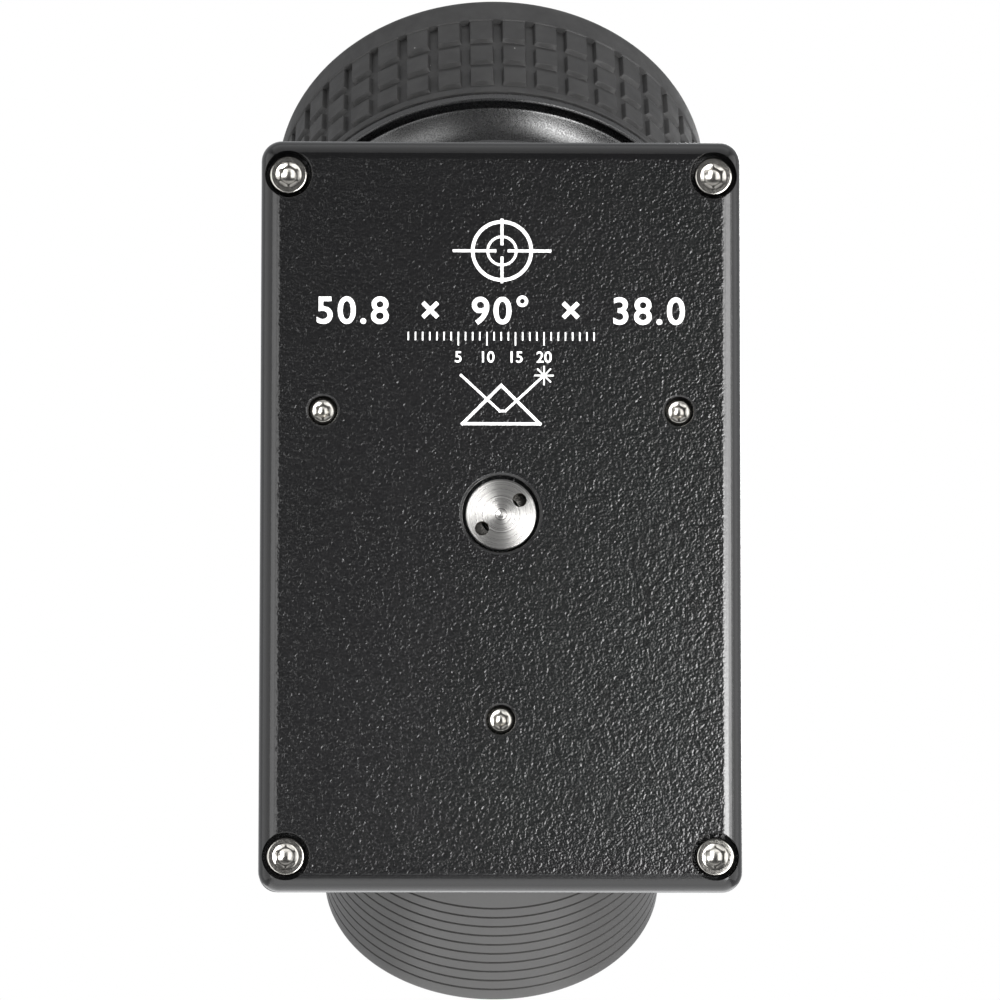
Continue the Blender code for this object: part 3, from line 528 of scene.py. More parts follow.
def carve(item, tool, operation="DIFFERENCE"):
    modifier = item.modifiers.new(tool.name, "BOOLEAN")
    if tool.data.materials:
        modifier.material_mode = "TRANSFER"
    modifier.operation = operation
    modifier.solver = "EXACT"
    modifier.object = tool


def smooth(item, sharp=38):
    """Smooth shading that keeps flat faces flat and sharp corners sharp."""
    item.data.shade_smooth()
    item.data.set_sharp_from_angle(angle=radians(sharp))
    weighted = item.modifiers.new("weighted_normals", "WEIGHTED_NORMAL")
    weighted.keep_sharp = True
    weighted.weight = 100


def stand_for(item, node, sharp=38):
    """Let a fine mesh stand in for a CAD node, on the same body, with smooth shading."""
    smooth(item, sharp)
    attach(item, BODY_OF[node])
    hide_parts(node)


def turned_piece(node, outline, place, material, steps=TURN_STEPS, sharp=38):
    bm = bmesh.new()
    add_turned(bm, outline, steps=steps)
    item = make_object(f"{node}_fine", bm, place, material)
    stand_for(item, node, sharp)


# ---------------------------------------------------------------- back plate and housing

def build_back_plate():
    half_x = PLATE_WIDTH / 2
    half_y = PLATE_LENGTH / 2
    levels = [(0.25 * MM, PLATE_BACK), (0.0, PLATE_BACK + 0.25 * MM)]
    for angle in quarter_turn(12):
        levels.append((EDGE_ROUND * (1 - cos(angle)), PLATE_FACE - EDGE_ROUND * (1 - sin(angle))))
    loops = []
    for inset, level in levels:
        outline = rounded_rectangle(half_x - inset, half_y - inset, PLAN_ROUND - inset)
        loops.append([(x, y, level) for x, y in outline])
    bm = bmesh.new()
    add_lofted(bm, loops)
    plate = make_object("back_plate_fine", bm, PLATE_FRAME, PLATE_COAT)

    below = PLATE_BACK - 1 * MM
    above = PLATE_FACE + 1 * MM

    def bore(places, radii, steps):
        """Stepped hole from (radius, height) pairs, from the inner face outwards."""
        outline = [(0, below)] + radii + [(radii[-1][0], above), (0, above)]
        bm = bmesh.new()
        for place in places:
            add_turned(bm, outline, steps=steps, shift=place)
        tool = make_object("hole_tool", bm, PLATE_FRAME)
        carve(plate, tool)
        return tool

    def worn_edge(radius, size):
        """Hole wall that rounds over into the plate's face."""
        return [
            (radius + size * (1 - cos(angle)), PLATE_FACE - size * (1 - sin(angle)))
            for angle in quarter_turn(5)
        ]

    floor = PLATE_FACE - 4.3 * MM
    cover = [(COVER_SHANK_HOLE, below), (COVER_SHANK_HOLE, floor), (COVER_BORE, floor)]
    floor = 14.3 * MM
    tension = [(TENSION_SHANK_HOLE, below), (TENSION_SHANK_HOLE, floor), (TENSION_BORE, floor)]
    plain = [(ADJUSTER_BORE, below)]
    tools = [
        bore(COVER_SCREWS.values(), cover + worn_edge(COVER_BORE, 0.18 * MM), 72),
        bore(ADJUSTERS.values(), plain + worn_edge(ADJUSTER_BORE, 0.38 * MM), 48),
        bore([(0, 0)], tension + worn_edge(TENSION_BORE, 0.46 * MM), 96),
    ]
    settle(plate, tools)
    stand_for(plate, "back_plate", sharp=30)


def plate_point(climb, normal):
    """The (y, z) of the eyepiece frame for a point given up the plate and along its normal."""
    return ((climb + normal) / sqrt(2), (climb - normal) / sqrt(2))


def mirror_points(points):
    """Side profile mirrored across the plane that swaps the two optical axes."""
    return [(-z, -y) for y, z in reversed(points)]


def build_housing():
    back = PLATE_BACK - GAP
    half = PLATE_LENGTH / 2
    wall = plate_point(half, half - LEG_FACE * sqrt(2))
    upper = [plate_point(half, back), wall, (-LEG_FACE + CORNER_CHAMFER, LEG_FACE)]
    bm = bmesh.new()
    add_extruded(bm, upper + mirror_points(upper), -PLATE_WIDTH / 2, PLATE_WIDTH / 2, axis="x")
    # every edge except the four round the open back is rounded
    chosen = []
    for edge in bm.edges:
        normals = [(vert.co.y - vert.co.z) / sqrt(2) for vert in edge.verts]
        if min(normals) < back - 0.1 * MM:
            chosen.append(edge)
    bmesh.ops.bevel(bm, geom=chosen, offset=EDGE_ROUND, segments=8, profile=0.5, affect="EDGES")
    housing = make_object("housing_fine", bm, EYEPIECE_FRAME, HOUSING_COAT)

    root = 20 * MM
    boss = rounded(
        [(0, root, 0), (BOSS_RADIUS, root, 0), (BOSS_RADIUS, BOSS_TOP, 0.5 * MM), (0, BOSS_TOP, 0)]
    )
    tools = []

    def tool(outline, place, operation="DIFFERENCE", steps=TURN_STEPS):
        bm = bmesh.new()
        add_turned(bm, outline, steps=steps)
        tools.append(make_object("housing_tool", bm, place))
        carve(housing, tools[-1], operation)

    tool(boss, EYEPIECE_FRAME, "UNION")
    half = CAVITY_HALF_LENGTH
    wall = plate_point(half, half - CAVITY_FACE * sqrt(2))
    side = [
        plate_point(half, back + 2 * MM), wall, (CAVITY_FACE - CAVITY_DEPTH * sqrt(2), CAVITY_FACE),
    ]
    bm = bmesh.new()
    add_extruded(bm, side + mirror_points(side), -CAVITY_HALF_WIDTH, CAVITY_HALF_WIDTH, axis="x")
    tools.append(make_object("housing_tool", bm, EYEPIECE_FRAME))
    carve(housing, tools[-1])
    seat = [(0, 28 * MM), (PORT_RADIUS, 28 * MM), (PORT_RADIUS, 41 * MM), (BOSS_SEAT, 41 * MM)]
    tool(seat + [(BOSS_SEAT, 50 * MM), (0, 50 * MM)], EYEPIECE_FRAME)
    port = [(0, 28 * MM), (NOSE_PORT_RADIUS, 28 * MM), (NOSE_PORT_RADIUS, 36 * MM), (0, 36 * MM)]
    tool(port, NOSE_FRAME)
    bm = bmesh.new()
    for place in COVER_SCREWS.values():
        low, high = 5.5 * MM, back + 1 * MM
        hole = [(0, low), (COVER_SHANK_HOLE, low), (COVER_SHANK_HOLE, high), (0, high)]
        add_turned(bm, hole, steps=32, shift=place)
    tools.append(make_object("housing_tool", bm, PLATE_FRAME))
    carve(housing, tools[-1])
    settle(housing, tools)
    stand_for(housing, "housing", sharp=30)


# ---------------------------------------------------------------- fasteners

def socket_head(top, key, depth, rim):
    """Outline of a screw's end from its axis: drill point, hexagon, countersink, then the rim."""
    corner = key / cos(pi / 6)
    outline = [(0, top - depth - key * 0.46), (key * 0.86, top - depth, 0), (key, top - depth, 6)]
    outline += [(key, top - 0.30 * MM, 6), (corner + 0.10 * MM, top - 0.16 * MM)]
    outline += [(corner + 0.34 * MM, top - 0.10 * MM), (corner + 0.42 * MM, top)]
    return outline + rim


def arc_rim(radius, top, edge):
    """Rounded outer edge of a screw's head."""
    return [
        (radius - edge * (1 - sin(angle)), top - edge * (1 - cos(angle)))
        for angle in quarter_turn(6)
    ]


def build_cover_screws():
    top = PLATE_FACE - 1.0 * MM
    outline = socket_head(top, 1.27 * MM, 1.5 * MM, arc_rim(COVER_HEAD_RADIUS, top, 0.38 * MM))
    seat = top - 3.0 * MM
    shank = 1.35 * MM
    outline += [(COVER_HEAD_RADIUS, seat), (shank, seat), (shank, 6.3 * MM)]
    outline += [(1.1 * MM, 6.0 * MM), (0, 6.0 * MM)]
    for name, place in COVER_SCREWS.items():
        local = PLATE_FRAME @ Matrix.Translation((*place, 0))
        turned_piece(
            f"cover_screw_{name}", outline, local, MATERIALS["stainless"], steps=96, sharp=24,
        )


def build_adjusting_screws():
    top = 17.75 * MM
    rim = [
        (1.45 * MM, top - 0.02 * MM), (1.58 * MM, top - 0.08 * MM),
        (ADJUSTER_RADIUS, top - 0.50 * MM),
    ]
    outline = socket_head(top, 0.92 * MM, 1.9 * MM, rim)
    outline += [(ADJUSTER_RADIUS, 8.3 * MM), (1.05 * MM, 7.1 * MM), (0, 7.1 * MM)]
    for name, place in ADJUSTERS.items():
        local = PLATE_FRAME @ Matrix.Translation((*place, 0))
        turned_piece(
            f"adjusting_screw_{name}", outline, local, MATERIALS["stainless"], steps=72, sharp=24,
        )


def build_tension_screw():
    top = 17.3 * MM
    seat = 15.4 * MM
    shank = 2.5 * MM
    end = 2.4 * MM
    outline = [
        (0, top - 0.16 * MM, 0), (0.45 * MM, top, 0.05 * MM), (TENSION_HEAD_RADIUS, top, 0.22 * MM),
        (TENSION_HEAD_RADIUS, seat), (shank, seat), (shank, end), (0, end, 0),
    ]
    bm = bmesh.new()
    add_turned(bm, rounded(outline))
    screw = make_object("tension_screw_fine", bm, PLATE_FRAME, MATERIALS["turned_aluminium"])
    mouth = PIN_HOLE_RADIUS + 0.05 * MM
    hole = [
        (0, 14.5 * MM), (PIN_HOLE_RADIUS, 15.0 * MM), (PIN_HOLE_RADIUS, top - 0.05 * MM),
        (mouth, top), (mouth, top + 1 * MM), (0, top + 1 * MM),
    ]
    bm = bmesh.new()
    for side in (-1, 1):
        place = (
            side * PIN_HOLE_OFFSET * cos(PIN_HOLE_ANGLE),
            side * PIN_HOLE_OFFSET * sin(PIN_HOLE_ANGLE),
        )
        add_turned(bm, hole, steps=40, shift=place)
    # the tool's material goes to the holes' walls: painted shade for the shadow inside them
    tool = make_object("pin_hole_tool", bm, PLATE_FRAME, MATERIALS["pin_hole"])
    carve(screw, tool)
    settle(screw, [tool])
    stand_for(screw, "tension_screw", sharp=30)


# ---------------------------------------------------------------- nosepiece

def build_nosepiece():
    flange = [
        (24.3 * MM, 31.5 * MM), (26.0 * MM, 31.5 * MM), (26.0 * MM, 34.3 * MM),
        (31.0 * MM, 34.3 * MM, 0.5 * MM), (31.0 * MM, 38.0 * MM, 0.5 * MM),
        (25.7 * MM, 38.0 * MM), (25.7 * MM, 36.8 * MM), (24.3 * MM, 36.8 * MM),
    ]
    turned_piece("nosepiece_flange", rounded(flange), NOSE_FRAME, MATERIALS["anodised_dark"])

    tube = rounded([
        (BARREL_BORE, 32.5 * MM), (24.0 * MM, 32.5 * MM), (24.0 * MM, 37.1 * MM, 0),
        (BARREL_RADIUS, 37.1 * MM),
    ])
    kerfs = 10
    kerf_pitch = 1.88 * MM
    half = 0.16 * MM
    depth = 0.22 * MM
    for index in range(kerfs):
        middle = BARREL_END - 2.37 * MM - kerf_pitch * (kerfs - 1 - index)
        tube += [
            (BARREL_RADIUS, middle - half - 0.04 * MM), (BARREL_RADIUS - 0.05 * MM, middle - half),
            (BARREL_RADIUS - depth, middle - half * 0.6),
            (BARREL_RADIUS - depth, middle + half * 0.6),
            (BARREL_RADIUS - 0.05 * MM, middle + half), (BARREL_RADIUS, middle + half + 0.04 * MM),
        ]
    tube += [
        (BARREL_RADIUS, BARREL_END - 0.45 * MM),
        (BARREL_RADIUS - 0.12 * MM, BARREL_END - 0.12 * MM),
        (BARREL_RADIUS - 0.45 * MM, BARREL_END), (24.3 * MM, BARREL_END),
    ]
    # filter thread in the barrel's mouth, as plain rings
    thread_pitch = 0.75 * MM
    crest = 23.62 * MM
    root = 24.0 * MM
    for index in range(7):
        level = BARREL_END - 0.35 * MM - thread_pitch * index
        tube += [
            (root, level), (crest, level - thread_pitch * 0.42),
            (crest, level - thread_pitch * 0.58),
        ]
    tube += [(root, BARREL_END - 5.75 * MM), (BARREL_BORE, BARREL_END - 6.5 * MM)]
    turned_piece("nosepiece_tube", tube, NOSE_FRAME, MATERIALS["anodised"], steps=180, sharp=28)

    baffle = [
        (22.0 * MM, 50.0 * MM), (22.0 * MM, 52.5 * MM), (21.0 * MM, 52.5 * MM),
        (20.4 * MM, 51.25 * MM, 0), (21.0 * MM, 50.0 * MM),
    ]
    turned_piece("nosepiece_baffle", rounded(baffle), NOSE_FRAME, MATERIALS["matte_black"])


# ---------------------------------------------------------------- eyepiece clamp

def build_clamp_base():
    foot = [
        (PORT_RADIUS, 41.3 * MM), (30.0 * MM, 41.3 * MM), (30.0 * MM, BOSS_TOP),
        (COVE_FOOT[0], BOSS_TOP, 0.5 * MM),
    ]
    cove = []
    steps = 18
    for step in range(steps + 1):
        share = step / steps
        hollow = COVE_HOLLOW * sin(pi * share)
        radius = COVE_FOOT[0] + (COVE_TOP[0] - COVE_FOOT[0]) * share - hollow
        cove.append((radius, COVE_FOOT[1] + (COVE_TOP[1] - COVE_FOOT[1]) * share + hollow, 0))
    cove[-1] = (*COVE_TOP, 0.05 * MM)
    rest = [
        (COVE_TOP[0], 58.34 * MM, 0.12 * MM), (26.9 * MM, 58.34 * MM), (26.9 * MM, 56.0 * MM),
        (SOCKET_RADIUS, 56.0 * MM), (SOCKET_RADIUS, 51.0 * MM), (PORT_RADIUS, 51.0 * MM),
    ]
    turned_piece(
        "clamp_base", rounded(foot + cove + rest), EYEPIECE_FRAME, MATERIALS["gloss_coat"],
        steps=180,
    )


def build_jaw_carrier():
    outline = [
        (SOCKET_RADIUS, 56.3 * MM), (26.6 * MM, 56.3 * MM), (26.6 * MM, 58.64 * MM),
        (CARRIER_RADIUS, 58.64 * MM), (CARRIER_RADIUS, 82.9 * MM), (SOCKET_RADIUS, 82.9 * MM),
    ]
    bm = bmesh.new()
    add_turned(bm, rounded(outline))
    carrier = make_object("jaw_carrier_fine", bm, EYEPIECE_FRAME, MATERIALS["anodised"])
    window = [
        (23 * MM, 64.7 * MM), (29 * MM, 64.7 * MM), (29 * MM, 77.3 * MM), (23 * MM, 77.3 * MM),
    ]
    bm = bmesh.new()
    for centre in JAW_CENTRES:
        add_turned(bm, window, steps=20, start=radians(centre - 24), sweep=radians(48))
    tool = make_object("window_tool", bm, EYEPIECE_FRAME)
    carve(carrier, tool)
    settle(carrier, [tool])
    stand_for(carrier, "jaw_carrier", sharp=30)


def build_clamp_jaws():
    """Brass segments with fine grip grooves across their inner face."""
    foot, top = 65.0 * MM, 77.0 * MM
    inner_profile = [(27.2 * MM, foot), (27.2 * MM, top)]
    teeth = 12
    for tooth in range(teeth + 1):
        level = top - 12.0 * MM * tooth / teeth
        inner_profile.append((SOCKET_RADIUS, level, 0))
        if tooth < teeth:
            inner_profile.append((SOCKET_RADIUS + 0.12 * MM, level - 0.5 * MM, 0))
    follower = [(27.1 * MM, foot), (28.6 * MM, foot), (28.6 * MM, top), (27.1 * MM, top)]
    for number, centre in enumerate(JAW_CENTRES, start=1):
        place = EYEPIECE_FRAME @ Matrix.Rotation(radians(centre), 4, "Z")
        bm = bmesh.new()
        add_turned(bm, rounded(inner_profile), steps=22, start=radians(-22), sweep=radians(44))
        jaw = make_object(f"clamp_jaw_{number}_fine", bm, place, MATERIALS["brass"])
        bm = bmesh.new()
        add_turned(bm, rounded(follower), steps=8, start=radians(-4), sweep=radians(8))
        tool = make_object("jaw_tool", bm, place)
        carve(jaw, tool, "UNION")
        settle(jaw, [tool])
        stand_for(jaw, f"clamp_jaw_{number}", sharp=30)


def build_clamp_ring():
    outline = [
        (27.8 * MM, 60.6 * MM), (31.0 * MM, 60.6 * MM), (32.2 * MM, 59.3 * MM),
        (32.3 * MM, 58.5 * MM), (32.45 * MM, 58.4 * MM, 0.08 * MM),
        (32.8 * MM, 58.6 * MM, 0.18 * MM), (32.8 * MM, 59.8 * MM, 0.18 * MM),
        (31.6 * MM, 59.8 * MM), (31.6 * MM, 83.0 * MM),
        (30.7 * MM, 83.0 * MM), (30.7 * MM, 62.3 * MM), (27.8 * MM, 62.3 * MM),
    ]
    turned_piece(
        "clamp_ring", rounded(outline), EYEPIECE_FRAME, MATERIALS["anodised_dark"], steps=180,
    )


def build_cover_ring():
    outline = [
        (27.8 * MM, 79.0 * MM), (30.3 * MM, 79.0 * MM), (30.3 * MM, 84.4 * MM, 0.3 * MM),
        (26.4 * MM, 84.4 * MM, 0.1 * MM), (SOCKET_RADIUS, 83.6 * MM, 0.1 * MM),
        (SOCKET_RADIUS, 83.2 * MM), (27.8 * MM, 83.2 * MM),
    ]
    turned_piece("cover_ring", rounded(outline), EYEPIECE_FRAME, MATERIALS["anodised"])


def ramp_profile(edges, wall):
    """Rows of (position, share of full height) across raised stretches with sloping walls."""
    ramp = [(-wall, 0.0), (-0.75 * wall, 0.12), (-0.25 * wall, 0.9), (0, 0.97), (0.4 * wall, 1.0)]
    rows = []
    for low, high in edges:
        rows += [(low + offset, share) for offset, share in ramp]
        rows += [(high - offset, share) for offset, share in reversed(ramp)]
    return rows


def build_grip_sleeve():
    """Rubber sleeve: 42 columns of pads in three rows under a plain band."""
    depth = 0.75 * MM
    arc = FULL_TURN * GRIP_RADIUS / GRIP_PADS
    columns = ramp_profile([(-PAD_HALF_WIDTH, PAD_HALF_WIDTH)], PAD_WALL)
    middle = len(columns) // 2
    columns[middle:middle] = [(-0.7 * MM, 1.0), (0.7 * MM, 1.0)]
    columns.append((arc / 2, 0.0))

    # (radius, level, share of the pads' height), where a row without a share is plain
    rows = [
        (SLEEVE_BORE, GRIP_START, None), (GRIP_RADIUS - 0.2 * MM, GRIP_START, None),
        (GRIP_RADIUS - 0.05 * MM, GRIP_START + 0.06 * MM, None),
        (GRIP_RADIUS, GRIP_START + 0.2 * MM, None), (GRIP_RADIUS, 61.15 * MM, None),
        (GRIP_RADIUS, 61.28 * MM, 0.95), (GRIP_RADIUS, 61.36 * MM, 0.85),
        (GRIP_RADIUS, 61.52 * MM, 0.1), (GRIP_RADIUS, 61.6 * MM, 0.0),
    ]
    # the upper slope of the last pads is left out, because they run into the band
    for position, share in ramp_profile(PAD_ROWS, PAD_WALL)[:-5]:
        rows.append((GRIP_RADIUS, position, share))
    shoulder = 82.3 * MM
    rows += [
        (GRIP_RADIUS, BAND_START - 0.12 * MM, 1.0), (GRIP_RADIUS, BAND_START - 0.04 * MM, 0.9),
        (GRIP_RADIUS, BAND_START + 0.05 * MM, 0.9),
        (BAND_RADIUS - 0.08 * MM, BAND_START + 0.14 * MM, None),
        (BAND_RADIUS, BAND_START + 0.35 * MM, None), (BAND_RADIUS, 80.5 * MM, None),
    ]
    for angle in quarter_turn(8):
        radius = BAND_RADIUS - 1.15 * MM * (1 - cos(angle))
        rows.append((radius, shoulder + 1.8 * MM * sin(angle), None))
    rows += [
        (30.8 * MM, 84.1 * MM, None), (30.8 * MM, 83.3 * MM, None), (SLEEVE_BORE, 83.3 * MM, None),
    ]

    bm = bmesh.new()
    rings = []
    for radius, level, row_share in rows:
        ring = []
        for pad in range(GRIP_PADS):
            for position, column_share in columns:
                angle = PAD_PHASE + FULL_TURN * pad / GRIP_PADS + position / GRIP_RADIUS
                reach = radius
                if row_share is not None:
                    share = row_share if level < RIM_END else min(row_share, column_share)
                    reach = radius - depth * (1 - share)
                ring.append(bm.verts.new((reach * cos(angle), reach * sin(angle), level)))
        rings.append(ring)
    for index, ring in enumerate(rings):
        following = rings[(index + 1) % len(rings)]
        for step in range(len(ring)):
            after = (step + 1) % len(ring)
            bm.faces.new([ring[step], ring[after], following[after], following[step]])
    sleeve = make_object("grip_sleeve_fine", bm, EYEPIECE_FRAME, MATERIALS["grip_rubber"])
    stand_for(sleeve, "grip_sleeve", sharp=50)


# ---------------------------------------------------------------- prism and its cell

def build_prism():
    """Roof prism with the ground bevels of a real one along its edges."""
    bm = bmesh.new()
    half_width, half_length, half_depth = 19.6 * MM, 35 * MM, 17.75 * MM
    leg = 30.2 * MM                 # from the bend to each of the faces that the light crosses
    bmesh.ops.create_cube(bm, size=2)
    bmesh.ops.scale(bm, verts=bm.verts, vec=(half_width, half_length, half_depth))
    bmesh.ops.translate(bm, verts=bm.verts, vec=(0, 0, -half_depth))
    slope = 1 / sqrt(2)
    face = leg * slope
    planes = [((0, 0, 0), (slope, 0, slope)), ((0, 0, 0), (-slope, 0, slope))]
    planes += [((0, face, -face), (0, slope, -slope)), ((0, -face, -face), (0, -slope, -slope))]
    for point, normal in planes:
        whole = bm.verts[:] + bm.edges[:] + bm.faces[:]
        cut = bmesh.ops.bisect_plane(
            bm, geom=whole, plane_co=point, plane_no=normal, clear_outer=True,
        )
        edges = [piece for piece in cut["geom_cut"] if isinstance(piece, bmesh.types.BMEdge)]
        bmesh.ops.contextual_create(bm, geom=edges)
    outer = [edge for edge in bm.edges if max(abs(vert.co.x) for vert in edge.verts) > 1 * MM]
    bmesh.ops.bevel(bm, geom=outer, offset=0.35 * MM, segments=1, profile=0.5, affect="EDGES")
    prism = make_object("amici_prism_fine", bm, PLATE_FRAME, MATERIALS["prism_glass"])
    stand_for(prism, "amici_prism", sharp=15)


def dress_cad_nodes():
    """Give the CAD nodes that stay their finishes, and soften the edges of the machined ones."""
    softened = {"prism_carrier": 0.25 * MM, "prism_strap": 0.15 * MM}
    for node in (
        "tension_washer", "cam_ring", "prism_carrier", "prism_strap", "strap_screw_left",
        "strap_screw_right", "strap_cushion", "side_cushion_left", "side_cushion_right",
    ):
        item = frame["nodes"][node]
        item.data.materials.clear()
        item.data.materials.append(MATERIALS[SLOT_OF[node]])
        if node in softened:
            bevel = item.modifiers.new("soft_edges", "BEVEL")
            bevel.width = softened[node]
            bevel.segments = 2
            bevel.limit_method = "ANGLE"
            bevel.angle_limit = radians(40)


# ---------------------------------------------------------------- print on the plate

INK_LOW = PLATE_FACE - 0.01 * MM
INK_HIGH = PLATE_FACE + 0.015 * MM


def add_stroke(bm, start, end, width, layer=0):
    """Straight bar of ink between two points; a higher layer shows over a lower one."""
    first = Vector(start)
    along = (Vector(end) - first).normalized() * width / 2
    side = Vector((-along.y, along.x))
    last = Vector(end)
    corners = [first - along - side, last + along - side, last + along + side, first - along + side]
    add_extruded(bm, [tuple(corner) for corner in corners], INK_LOW, INK_HIGH + layer * 0.002 * MM)


def add_ring(bm, centre, radius, width, steps=72):
    low, high = radius - width / 2, radius + width / 2
    outline = [(low, INK_LOW), (high, INK_LOW), (high, INK_HIGH), (low, INK_HIGH)]
    add_turned(bm, outline, steps=steps, shift=centre)


def numerals(name, text, size, centre, weight=0.0, spacing=1.0):
    """Flat raised figures, centred on a point of the plate."""
    curve = bpy.data.curves.new(name, "FONT")
    curve.body = text
    curve.size = size
    curve.offset = weight
    curve.space_character = spacing
    curve.align_x = "CENTER"
    curve.align_y = "CENTER"
    curve.extrude = (INK_HIGH - INK_LOW) / 2
    item = bpy.data.objects.new(name, curve)
    item.matrix_world = PLATE_FRAME @ Matrix.Translation((*centre, (INK_LOW + INK_HIGH) / 2))
    bpy.context.scene.collection.objects.link(item)
    graph = bpy.context.evaluated_depsgraph_get()
    mesh = bpy.data.meshes.new_from_object(item.evaluated_get(graph))
    solid = bpy.data.objects.new(name, mesh)
    solid.matrix_world = item.matrix_world
    bpy.data.objects.remove(item, do_unlink=True)
    bpy.context.scene.collection.objects.link(solid)
    mesh.materials.clear()
    mesh.materials.append(INK)
    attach(solid, "root")


def build_print():
    """Neutral markings: a reticle, sizes in numbers, a scale and the path of the light."""
    bm = bmesh.new()
    centre = (0.1 * MM, 36.95 * MM)
    add_ring(bm, centre, 4.1 * MM, 0.5 * MM)
    add_ring(bm, centre, 2.0 * MM, 0.35 * MM)
    for turn in range(4):
        way = Vector((cos(pi / 2 * turn), sin(pi / 2 * turn)))
        reach = 6.7 * MM if turn % 2 == 0 else 4.35 * MM
        start = Vector(centre) + way * MM
        add_stroke(bm, start, Vector(centre) + way * reach, 0.4 * MM, layer=1)
    reticle = make_object("print_reticle", bm, PLATE_FRAME, INK)
    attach(reticle, "root")

    numerals(
        "print_sizes", "50.8  ×  90°  ×  38.0", 5.3 * MM, (-0.1 * MM, 28.3 * MM), 0.09 * MM, 1.155,
    )
    bm = bmesh.new()
    marks = 27
    for index in range(marks):
        across = (index - marks // 2) * MM
        length = 1.7 * MM if index in (7, 11, 15, 19) else 1.0 * MM
        add_stroke(bm, (across, 25.4 * MM), (across, 25.4 * MM - length), 0.2 * MM)
    scale = make_object("print_scale", bm, PLATE_FRAME, INK)
    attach(scale, "root")
    for mark in range(4):
        numerals(
            f"print_figure_{mark + 1}", str(5 * mark + 5), 2.2 * MM,
            ((4 * mark - 6) * MM, 21.9 * MM), 0.03 * MM,
        )

    bm = bmesh.new()
    left, right, low, high = -5.4 * MM, 5.4 * MM, 12.6 * MM, 18.0 * MM
    corners = [(left, low), (right, low), (0, high)]
    for layer, (first, second) in enumerate(zip(corners, corners[1:] + corners[:1])):
        add_stroke(bm, first, second, 0.42 * MM, layer)
    steps = [
        (-5.6 * MM, 19.4 * MM), (-0.2 * MM, 14.4 * MM), (0.6 * MM, 14.4 * MM),
        (6.0 * MM, 19.4 * MM),
    ]
    for layer, (first, second) in enumerate(zip(steps, steps[1:]), start=3):
        add_stroke(bm, first, second, 0.34 * MM, layer)
    for turn in range(4):
        way = Vector((cos(pi / 4 * turn), sin(pi / 4 * turn))) * 1.25 * MM
        add_stroke(bm, Vector(steps[-1]) - way, Vector(steps[-1]) + way, 0.22 * MM, 6 + turn)
    path = make_object("print_light_path", bm, PLATE_FRAME, INK)
    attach(path, "root")


# ---------------------------------------------------------------- studio and camera

FLOOR_REACH = 0.65          # small enough to stay out of the back plate's mirror image
FLOOR_LEVEL = -1.5


def soft_light(name, across, climb, normal, width, height, radiance):
    """Softbox in the plate's frame, aimed at the bend; its power follows from its radiance."""
    light = bpy.data.lights.new(name, "AREA")
    light.shape = "RECTANGLE"
    light.size = width
    light.size_y = height
    light.energy = radiance * pi * width * height
    item = bpy.data.objects.new(name, light)
    spot = Vector((across, climb, normal))
    back = spot.normalized()
    side = Vector((0, 1, 0)).cross(back).normalized()
    up = back.cross(side)
    turn = Matrix((side, up, back)).transposed().to_4x4()
    item.matrix_world = PLATE_FRAME @ Matrix.Translation(spot) @ turn
    item.visible_camera = False
    bpy.context.scene.collection.objects.link(item)


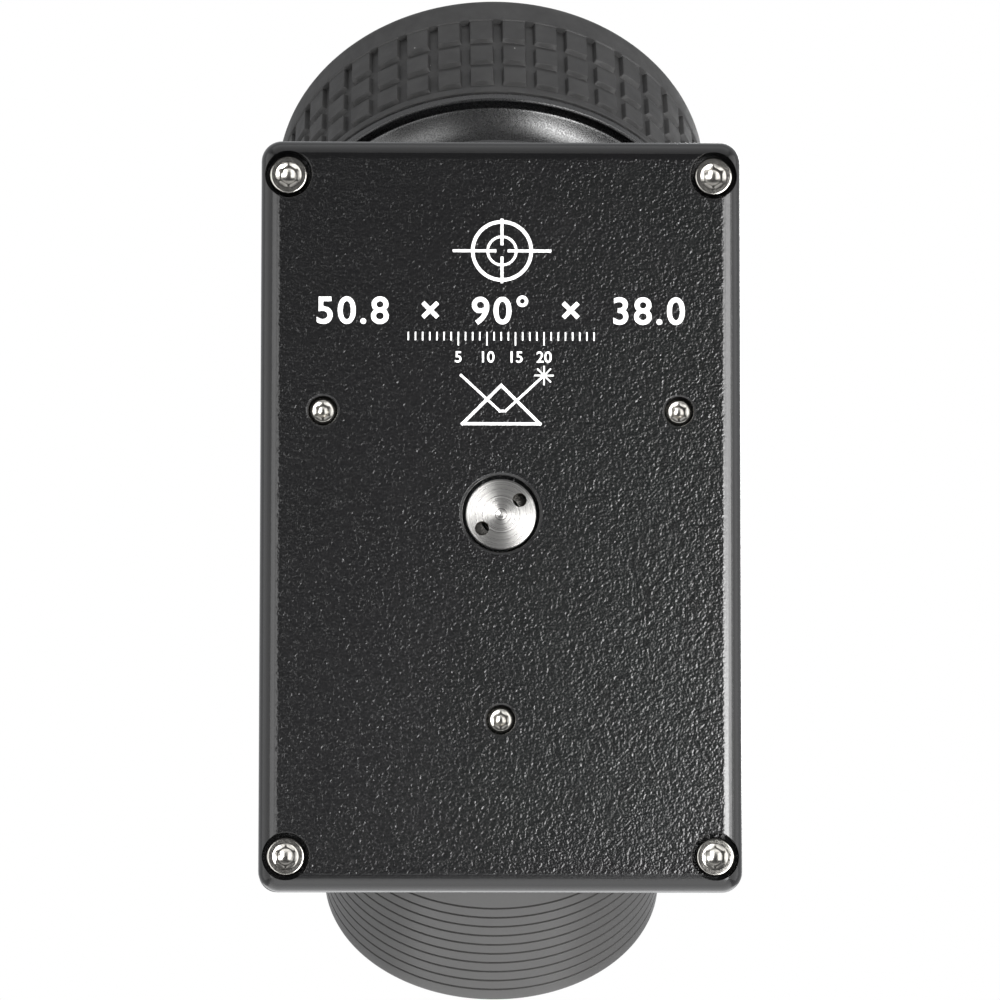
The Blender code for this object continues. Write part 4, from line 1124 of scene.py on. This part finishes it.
def build_studio():
    soft_light("key_right", 0.28, -0.21, 0.62, 0.24, 0.46, 18.5)
    soft_light("key_right_high", 0.42, 0.06, 0.57, 0.42, 0.24, 10.0)
    soft_light("fill_left", -0.38, -0.08, 0.62, 0.36, 0.70, 3.4)
    soft_light("low_bounce", 0.0, -0.70, 0.20, 1.2, 1.1, 1.75)
    soft_light("low_behind", 0.0, -0.66, -0.62, 1.2, 0.7, 1.8)
    soft_light("high_bounce", 0.0, 0.72, 0.25, 1.2, 0.8, 0.8)
    soft_light("side_right", 0.78, 0.0, 0.22, 0.8, 1.15, 1.4)
    soft_light("side_left", -0.78, 0.0, 0.22, 0.8, 1.15, 1.1)
    soft_light("front_fill", 0.3, 0.2, -1.1, 0.45, 0.45, 6.0)

    world = bpy.data.worlds.new("studio")
    bpy.context.scene.world = world
    world.use_nodes = True
    tree = world.node_tree
    tree.nodes.clear()
    out = tree.nodes.new("ShaderNodeOutputWorld")
    mix = tree.nodes.new("ShaderNodeMixShader")
    seen = tree.nodes.new("ShaderNodeBackground")
    lit = tree.nodes.new("ShaderNodeBackground")
    seen.inputs["Color"].default_value = (1, 1, 1, 1)
    lit.inputs["Color"].default_value = (0.97, 0.98, 1.0, 1)
    # the room is dim on the side of the back plate and pale behind the object
    place = tree.nodes.new("ShaderNodeTexCoord")
    facing = tree.nodes.new("ShaderNodeVectorMath")
    facing.operation = "DOT_PRODUCT"
    facing.inputs[1].default_value = PLATE_FRAME.to_3x3() @ Vector((0, 0, 1))
    tree.links.new(place.outputs["Generated"], facing.inputs[0])
    level = tree.nodes.new("ShaderNodeMapRange")
    level.inputs["From Min"].default_value = -0.1
    level.inputs["From Max"].default_value = 0.6
    level.inputs["To Min"].default_value = 0.75
    level.inputs["To Max"].default_value = 0.15
    tree.links.new(facing.outputs["Value"], level.inputs["Value"])
    tree.links.new(level.outputs["Result"], lit.inputs["Strength"])
    rays = tree.nodes.new("ShaderNodeLightPath")
    tree.links.new(rays.outputs["Is Camera Ray"], mix.inputs[0])
    tree.links.new(lit.outputs[0], mix.inputs[1])
    tree.links.new(seen.outputs[0], mix.inputs[2])
    tree.links.new(mix.outputs[0], out.inputs["Surface"])

    bm = bmesh.new()
    reach = FLOOR_REACH
    corners = [(-reach, -reach), (reach, -reach), (reach, reach), (-reach, reach)]
    bm.faces.new([bm.verts.new((x, y, FLOOR_LEVEL)) for x, y in corners])
    floor = make_object("floor", bm, Matrix.Identity(4))
    paper = Shading("floor_paper")
    floor.data.materials.append(paper.finish(Base_Color=(0.80, 0.80, 0.795, 1), Roughness=0.9))
    bpy.context.scene.view_settings.view_transform = "Standard"


def build_camera():
    """Camera at the picture's viewing angle: square on to the back plate, a little low and left."""
    spot = Vector((-14.11, -54.12, 697.15)) * MM
    pan, tilt, roll = radians(-1.178), radians(4.717), radians(0.05)
    turn = Matrix.Rotation(pan, 4, "Y") @ Matrix.Rotation(tilt, 4, "X")
    turn = turn @ Matrix.Rotation(roll, 4, "Z")
    camera = bpy.data.cameras.new("camera")
    camera.lens = 175.71
    camera.sensor_width = 36
    item = bpy.data.objects.new("camera", camera)
    item.matrix_world = PLATE_FRAME @ Matrix.Translation(spot) @ turn
    bpy.context.scene.collection.objects.link(item)
    bpy.context.scene.camera = item


build_camera()
build_studio()
build_back_plate()
build_housing()
build_cover_screws()
build_adjusting_screws()
build_tension_screw()
build_nosepiece()
build_clamp_base()
build_jaw_carrier()
build_clamp_jaws()
build_clamp_ring()
build_cover_ring()
build_grip_sleeve()
build_prism()
dress_cad_nodes()
build_print()
